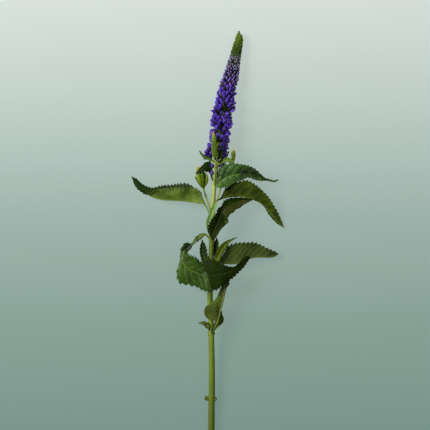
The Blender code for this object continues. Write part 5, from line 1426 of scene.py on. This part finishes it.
def spike_florets(settings, route):
    """Calyces, florets, stamens and buds in one long spiral, and the strays at its foot, by group."""
    parts = floret_parts()
    draw = random.Random(settings.seed)
    last = len(route) - 1
    made = {group: [] for group in ("corollas", "calyces", "buds", "scales", "stamens")}
    spots = spiral(route, SPIKE_RADII, SPIKE_START, last - SPIKE_TIP_GAP, SPIKE_SPACING)
    for serial, u in enumerate(spots):
        here, up, level, ahead = tube_frame(route, u)
        angle = GOLDEN_ANGLE * serial + draw.uniform(-ANGLE_JITTER, ANGLE_JITTER)
        radial = level * math.cos(angle) + up * math.sin(angle)
        if GAP_START < u < GAP_END and radial.z > GAP_HEIGHT and abs(radial.x) < GAP_WIDTH:
            continue
        jitter = RISE_JITTER if u < OPEN_END else BUD_RISE_JITTER
        rise = math.radians(curve_number(SPIKE_RISE, u) + draw.uniform(-jitter, jitter))
        out = (radial * math.cos(rise) + ahead * math.sin(rise)).normalized()
        outline, spacing = curve_number(SPIKE_RADII, u), curve_number(SPIKE_SPACING, u)
        sunk = ROOT_SHARE * curve_number(AXIS_RADII, u)
        reach = min((outline - sunk) / math.cos(rise), 1.3 * outline + 0.4) * draw.uniform(0.9, 1.05)
        root = here + radial * sunk
        numbers = {"tone": draw.random() * (LOW_TONE if u < LOW_END else 1.0), "age": u / last}
        if u > BUD_END or (u > MIXED_START and serial % 2):
            size = (SCALE_SHARE * spacing, SCALE_SHARE * spacing, reach)
            made["scales"].append(twin(parts["scale"], stand(root, out, ahead, 0.0, size), **numbers))
            continue
        kind = "bud"
        if u < OPEN_END:
            kind = draw.choices(tuple(KIND_WEIGHTS), tuple(KIND_WEIGHTS.values()))[0]
        turn = draw.uniform(0, 2 * math.pi)
        one_floret(made, parts, kind, (root, out, ahead, turn), reach, spacing, numbers)
    for root, aim, kind in STRAY_FLORETS:
        spot = (Vector(root), Vector(aim).normalized(), Vector((0, 1, 0)), 0.0)
        numbers = {"tone": draw.random() * LOW_TONE, "age": STRAY_AGE}
        one_floret(made, parts, kind, spot, STRAY_REACH, SPIKE_SPACING[0], numbers)
    removed(*parts.values())
    return made


def spike_axis(route):
    """The spike's green axis, and the bed of packed calyces that closes the view below it."""
    last = len(route) - 1
    axis = tube("spike_axis", SPIKE_ROUTE, AXIS_RADII, AXIS_SIDES,
                even_places([route], 0, last - 0.05, AXIS_RINGS),
                lambda ring, angle: 1.0 + 0.05 * math.cos(5 * angle + ring * 0.1))
    axis.data.materials.append(calyx_green("spike axis", srgb(104, 118, 24), srgb(164, 172, 66)))
    bed = tube("spike_bed", [(x, y, z - BED_DROP) for x, y, z in SPIKE_ROUTE],
               [max(0.1, BED_SHARE * radius) for radius in SPIKE_RADII], BED_SIDES,
               even_places([route], 0.1, last - 1.2, BED_RINGS),
               lambda ring, angle: 1.0 + 0.12 * (math.sin(5 * angle + 0.9 * ring)
                                                 * math.sin(3 * angle - 0.7 * ring)))
    # the bed is coloured near black as painted shade of the gaps between the florets
    bed.data.materials.append(calyx_green("packed calyces in painted shade", srgb(20, 30, 6), srgb(44, 58, 14)))
    finished(joined("spike_axis", [axis, bed]), "green_buds")


def main_spike(settings):
    """The flower spike: its axis, and one piece for each group of its florets and buds."""
    route = vectors(SPIKE_ROUTE)
    made = spike_florets(settings, route)
    spike_axis(route)
    groups = (
        ("corollas", "spike_corollas", petal_velvet(settings), "violet_petals", ("violet_florets",)),
        ("calyces", "spike_calyces", calyx_green("calyces", srgb(18, 30, 4), srgb(52, 74, 14)),
         "green_buds", ()),
        ("buds", "spike_violet_buds", violet_bud(settings), "violet_petals", ()),
        ("scales", "spike_green_buds",
         green_bud("green spike buds", srgb(34, 54, 2), srgb(64, 92, 10), srgb(118, 146, 18), (0.80, 0.95),
                   end=srgb(140, 84, 40), blush=srgb(142, 127, 152)),
         "green_buds", ("green_tip_buds",)),
        ("stamens", "spike_stamens", stamen_finish(), "violet_petals", ()),
    )
    for group, name, finish, slot, nodes in groups:
        piece = joined(name, made[group])
        points = points_of(piece)
        under_spike = points[:, 1] < SIDE_SPIKE_CLEAR_LENGTH
        points[under_spike, 2] = np.minimum(points[under_spike, 2], SIDE_SPIKE_CLEAR_HEIGHT)
        points[:, 2] = np.maximum(points[:, 2], SPIKE_FLOOR)
        move_points(piece, points)
        piece.data.materials.clear()
        piece.data.materials.append(finish)
        finished(piece, slot, *nodes)


def bract(name, finish, route, width, tone):
    """Small pointed scale leaf along a route, folded along its middle, its back upwards."""
    line = vectors(route)
    net = np.zeros((BRACT_ROWS + 1, BRACT_COLUMNS + 1, 3))
    for row in range(BRACT_ROWS + 1):
        share = row / BRACT_ROWS
        u = min(share, 0.985) * (len(line) - 1)
        here, _, _, ahead = tube_frame(line, u)
        across = ahead.cross(Vector((0, 0, 1))).normalized()
        back = across.cross(ahead).normalized()
        breadth = math.sin(math.pi * min(1.0, 0.12 + 0.88 * share)) ** 0.8
        half = width / 2 * (breadth * (1 - 0.25 * share) + 0.03)
        for column in range(BRACT_COLUMNS + 1):
            t = 2 * column / BRACT_COLUMNS - 1
            net[row, column] = here + across * (t * half) - back * (0.45 * half * t * t)
    piece, order = sheet(name, net)
    reach = np.repeat(np.linspace(0.0, 1.0, BRACT_ROWS + 1), BRACT_COLUMNS + 1)[order]
    middle = np.tile(1 - np.abs(np.linspace(-1, 1, BRACT_COLUMNS + 1)), BRACT_ROWS + 1)[order]
    mark(piece, "reach", reach)
    mark(piece, "vein", middle ** 3)
    mark(piece, "tone", np.full(len(order), tone))
    thicken(piece, BRACT_THICKNESS)
    piece.data.materials.append(finish)
    return piece


def side_spike(name, finishes, route, radii, head_start, spacing, bud_length, flush, bracts=()):
    """A side spike in bud: a pale stalk, a head of small round buds, and bracts round it."""
    line = vectors(route)
    last = len(line) - 1
    stalk_finish, bud_finish, bract_finish = finishes
    places = even_places([line], 0, head_start, STALK_RINGS)[:-1]
    places += even_places([line], head_start, last - TIP_GAP, HEAD_RINGS)
    head = [radius * (CORE_SHARE if k > head_start else 1.0) for k, radius in enumerate(radii)]
    core = tube(name + "_core", route, head, 14, places)
    reach = np.empty(len(core.data.vertices), dtype=np.float32)
    core.data.attributes["reach"].data.foreach_get("value", reach)
    start = (STALK_RINGS + 1) / (len(places) + 1)
    mark(core, "age", np.clip((reach - start) / (1 - start), 0, 1))
    mark(core, "tone", np.full(len(reach), 0.4))
    # the core inside the head takes the darker colour of the buds' feet: painted shade between the buds
    mark(core, "reach", np.where(reach > start, 0.1, 0.3))
    core.data.materials.append(stalk_finish)
    core.data.materials.append(bud_finish)
    for polygon in core.data.polygons:
        if min(reach[v] for v in polygon.vertices) > start:
            polygon.material_index = 1
    base = profile_ball(name + "_bud", 7, (
        (0, 0, 0), (0.7, 0.12, 0), (1.0, 0.45, 0), (0.9, 0.75, 0), (0.5, 0.95, 0), (0, 1.0, 0)))
    draw = random.Random(name)
    buds = []
    spots = spiral(line, radii, head_start + FIRST_BUD, last - LAST_BUD, [spacing] * len(line))
    for serial, u in enumerate(spots):
        here, up, level, ahead = tube_frame(line, u)
        share = (u - head_start) / (last - head_start)
        radius = curve_number(radii, u)
        angle = GOLDEN_ANGLE * serial
        radial = level * math.cos(angle) + up * math.sin(angle)
        rise = math.radians(SIDE_RISE + SIDE_RISE_MORE * share)
        out = (radial * math.cos(rise) + ahead * math.sin(rise)).normalized()
        length = min(bud_length, radius)
        stout = min(spacing * 0.45, 0.42 * length)
        root = here + radial * (radius - 0.92 * length * math.cos(rise) - flush * share)
        matrix = stand(root, out, ahead, 0.0, (stout, stout, length))
        buds.append(twin(base, matrix, tone=draw.random(), age=share))
    removed(base)
    for bud in buds:
        bud.data.materials.append(bud_finish)
    scales = [bract(f"{name}_bract_{k}", bract_finish, *one) for k, one in enumerate(bracts)]
    return finished(joined(name + "_shoot", [core] + buds + scales), "green_buds", name)


# Stage


def floor_finish(settings):
    """Pale grey-green paper, darker towards the foot of the stem, partly lit from within."""
    finish, tree, shader = new_finish("pale paper", 0.95)
    y = add(tree, "SeparateXYZ", Vector=on_object(tree)).outputs["Y"]
    share = add(tree, "MapRange", Value=y, From_Min=FLOOR_NEAR_Y, From_Max=FLOOR_FAR_Y).outputs[0]
    ramp = add(tree, "ValToRGB", Fac=share)
    stops = ((0.0, settings.floor_near), (0.25, settings.floor_low), (0.5, settings.floor_middle),
             (0.8, settings.floor_high), (1.0, settings.floor_far))
    while len(ramp.color_ramp.elements) < len(stops):
        ramp.color_ramp.elements.new(0.5)
    for element, (position, colour) in zip(ramp.color_ramp.elements, stops):
        element.position = position
        element.color = (*colour, 1.0)
    coloured(tree, shader, mixed(tree, FLOOR_DARKENING, ramp.outputs[0], (0.0, 0.0, 0.0)))
    put(tree, shader.inputs["Emission Color"], ramp.outputs[0])
    shader.inputs["Emission Strength"].default_value = settings.floor_glow
    shader.inputs["Specular IOR Level"].default_value = 0.0
    return finish


def stage(settings):
    """Plain pale floor, soft light from the upper left, and the camera that looks straight down."""
    clear_selection()
    bpy.ops.mesh.primitive_plane_add(size=FLOOR_SIZE)
    floor = named(bpy.context.object, "floor")
    floor.data.materials.append(floor_finish(settings))
    floor.visible_diffuse = False

    world = bpy.context.scene.world or bpy.data.worlds.new("studio")
    bpy.context.scene.world = world
    world.use_nodes = True
    sky = world.node_tree.nodes["Background"]
    sky.inputs["Color"].default_value = (*settings.sky_colour, 1.0)
    sky.inputs["Strength"].default_value = settings.sky_strength

    for name, place, size, power in (
            ("key light", settings.key_place, KEY_SIZE, settings.key_power),
            ("fill light", settings.fill_place, FILL_SIZE, settings.fill_power)):
        bpy.ops.object.light_add(type="AREA", location=place)
        lamp = bpy.context.object
        lamp.name = name
        lamp.data.shape = "DISK"
        lamp.data.size = size
        lamp.data.energy = power
        lamp.visible_camera = False
        lamp.rotation_euler = (-Vector(place)).to_track_quat("-Z", "Y").to_euler()

    bpy.ops.object.camera_add(location=(*VIEW_CENTRE, CAMERA_HEIGHT), rotation=(0.0, 0.0, 0.0))
    camera = bpy.context.object
    camera.data.sensor_width = SENSOR_WIDTH
    camera.data.lens = SENSOR_WIDTH * FOCUS_DISTANCE / VIEW_WIDTH
    camera.data.dof.use_dof = False
    bpy.context.scene.camera = camera
    bpy.context.scene.view_settings.view_transform = "Standard"


# Settings that a user would change


def colour_setting(name, description, default):
    """A colour that a user would change."""
    return FloatVectorProperty(name=name, description=description, subtype="COLOR", size=3,
                               min=0.0, max=1.0, default=default)


class SpeedwellStageSettings(bpy.types.PropertyGroup):
    floor_far: colour_setting("Floor, far", "Floor beyond the tip of the flowers", srgb(212, 221, 215))
    floor_high: colour_setting("Floor, high", "Floor beside the flowers", srgb(193, 207, 200))
    floor_middle: colour_setting("Floor, middle", "Floor beside the upper leaves", srgb(157, 178, 170))
    floor_low: colour_setting("Floor, low", "Floor beside the lower leaves", srgb(136, 161, 151))
    floor_near: colour_setting("Floor, near", "Floor beside the cut foot", srgb(122, 149, 139))
    floor_glow: FloatProperty(name="Floor glow", description="Light that the floor gives off itself",
                              default=0.84, min=0.0)
    sky_colour: colour_setting("Sky colour", "Colour of the light all round", (0.93, 0.97, 1.0))
    sky_strength: FloatProperty(name="Sky strength", description="Light all round", default=0.14, min=0.0)
    key_place: FloatVectorProperty(name="Key light", description="Place of the key light", size=3,
                                   subtype="TRANSLATION", unit="LENGTH", default=(-0.95, 0.45, 1.0))
    key_power: FloatProperty(name="Key power", description="Power of the key light", default=22.0, min=0.0)
    fill_place: FloatVectorProperty(name="Fill light", description="Place of the fill light", size=3,
                                    subtype="TRANSLATION", unit="LENGTH", default=(0.9, -0.3, 1.4))
    fill_power: FloatProperty(name="Fill power", description="Power of the fill light",
                              default=3.0, min=0.0)


class SpeedwellStemSettings(bpy.types.PropertyGroup):
    top_colour: colour_setting("Top", "Stem colour below the flowers", srgb(176, 190, 92))
    middle_colour: colour_setting("Middle", "Stem colour below the leaves", srgb(124, 146, 40))
    foot_colour: colour_setting("Foot", "Stem colour at the cut", srgb(92, 106, 20))
    # painted shade that the leaves cast on the stem
    shade_colour: colour_setting("Among leaves", "Stem colour between the leaves", srgb(78, 96, 4))
    ridge_depth: FloatProperty(name="Ridge depth", description="Depth of the fine ridges", unit="LENGTH",
                               default=0.00003, min=0.0, max=0.0003, precision=6)


class SpeedwellLeafSettings(bpy.types.PropertyGroup):
    blade_thickness: FloatProperty(name="Blade thickness", description="Thickness of a leaf", unit="LENGTH",
                                   default=0.0004, min=0.0002, max=0.0007, precision=5)
    vein_depth: FloatProperty(name="Vein depth", description="Depth of the veins in the upper side",
                              unit="LENGTH", default=0.00022, min=0.0, max=0.0005, precision=5)
    quilt_height: FloatProperty(name="Quilting", description="Height of the blade between its veins",
                                unit="LENGTH", default=0.0003, min=0.0, max=0.001, precision=5)


class SpeedwellFlowerSettings(bpy.types.PropertyGroup):
    petal_dark: colour_setting("Petals, dark", "Violet of the darkest florets", srgb(52, 20, 126))
    petal_light: colour_setting("Petals, light", "Violet of the lightest florets", srgb(98, 54, 204))
    # painted highlight at the rims of the petals
    petal_highlight: colour_setting("Petal tips", "Violet at the rims of the petals", srgb(134, 96, 228))
    bud_colour: colour_setting("Buds", "Pale violet of the youngest buds", srgb(158, 128, 200))
    seed: IntProperty(name="Seed", description="Draws the small differences between florets", default=5)


# Operators, in the order in which main calls them


class SPEEDWELL_OT_stage(bpy.types.Operator):
    """Make the floor, the lights and the camera"""
    bl_idname = "speedwell.stage"
    bl_label = "Stage"

    def execute(self, context):
        stage(context.scene.speedwell_stage)
        return {"FINISHED"}


class SPEEDWELL_OT_stem(bpy.types.Operator):
    """Make the stem with its joints, scars and cut foot"""
    bl_idname = "speedwell.stem"
    bl_label = "Stem"

    def execute(self, context):
        stem(context.scene.speedwell_stem)
        return {"FINISHED"}


class SPEEDWELL_OT_leaves(bpy.types.Operator):
    """Make the leaves and bracts with their teeth and veins"""
    bl_idname = "speedwell.leaves"
    bl_label = "Leaves"

    def execute(self, context):
        uppers, unders = leaf_finishes(LEAF_UPPERS), leaf_finishes(LEAF_UNDERS)
        for name, shape in LEAVES.items():
            upper, under = LEAF_FINISHES[name]
            slot = "light_leaves" if upper == under else "leaves"
            leaf(name, context.scene.speedwell_leaf, (uppers[upper], unders[under]), slot, **shape)
        return {"FINISHED"}


class SPEEDWELL_OT_main_spike(bpy.types.Operator):
    """Make the flower spike with its florets and buds"""
    bl_idname = "speedwell.main_spike"
    bl_label = "Flower spike"

    def execute(self, context):
        main_spike(context.scene.speedwell_flower)
        return {"FINISHED"}


class SPEEDWELL_OT_side_spikes(bpy.types.Operator):
    """Make the three green side spikes"""
    bl_idname = "speedwell.side_spikes"
    bl_label = "Side spikes"

    def execute(self, context):
        stalk = calyx_green("side spike stalk", srgb(140, 158, 60), srgb(164, 178, 80))
        buds = green_bud("side spike buds", srgb(26, 46, 0), srgb(124, 158, 0), srgb(166, 182, 40),
                         (0.5, 0.9))
        bracts = bract_green()
        young_buds = green_bud("young side buds", srgb(48, 72, 0), srgb(120, 150, 6), srgb(206, 200, 64),
                               (0.5, 0.75), end=srgb(64, 58, 32))
        for name, shape in SIDE_SPIKES.items():
            own_buds = buds if name == "front_side_spike" else young_buds
            side_spike(name, (stalk, own_buds, bracts), **shape)
        return {"FINISHED"}


# Panel


class SPEEDWELL_PT_panel(bpy.types.Panel):
    """Lists the steps and settings of the flower spike"""
    bl_idname = "SPEEDWELL_PT_panel"
    bl_label = "Speedwell flower spike"
    bl_space_type = "VIEW_3D"
    bl_region_type = "UI"
    bl_category = "Speedwell"

    def draw(self, context):
        for operator, group in STEPS:
            box = self.layout.box()
            box.operator(operator.bl_idname)
            if group:
                settings = getattr(context.scene, group)
                for name in settings.__annotations__:
                    box.prop(settings, name)


# What is registered, and the operators with the settings that each one reads
SETTINGS = {
    "speedwell_stage": SpeedwellStageSettings,
    "speedwell_stem": SpeedwellStemSettings,
    "speedwell_leaf": SpeedwellLeafSettings,
    "speedwell_flower": SpeedwellFlowerSettings,
}
STEPS = (
    (SPEEDWELL_OT_stage, "speedwell_stage"),
    (SPEEDWELL_OT_stem, "speedwell_stem"),
    (SPEEDWELL_OT_leaves, "speedwell_leaf"),
    (SPEEDWELL_OT_main_spike, "speedwell_flower"),
    (SPEEDWELL_OT_side_spikes, None),
)
CLASSES = (*SETTINGS.values(), *(operator for operator, group in STEPS), SPEEDWELL_PT_panel)


def register():
    for each in CLASSES:
        bpy.utils.register_class(each)
    for name, group in SETTINGS.items():
        setattr(bpy.types.Scene, name, PointerProperty(type=group))


def unregister():
    for name in SETTINGS:
        delattr(bpy.types.Scene, name)
    for each in reversed(CLASSES):
        bpy.utils.unregister_class(each)


def main():
    """Makes every piece."""
    register()
    bpy.ops.speedwell.stage()
    bpy.ops.speedwell.stem()
    bpy.ops.speedwell.leaves()
    bpy.ops.speedwell.main_spike()
    bpy.ops.speedwell.side_spikes()


if __name__ == "__main__":
    main()
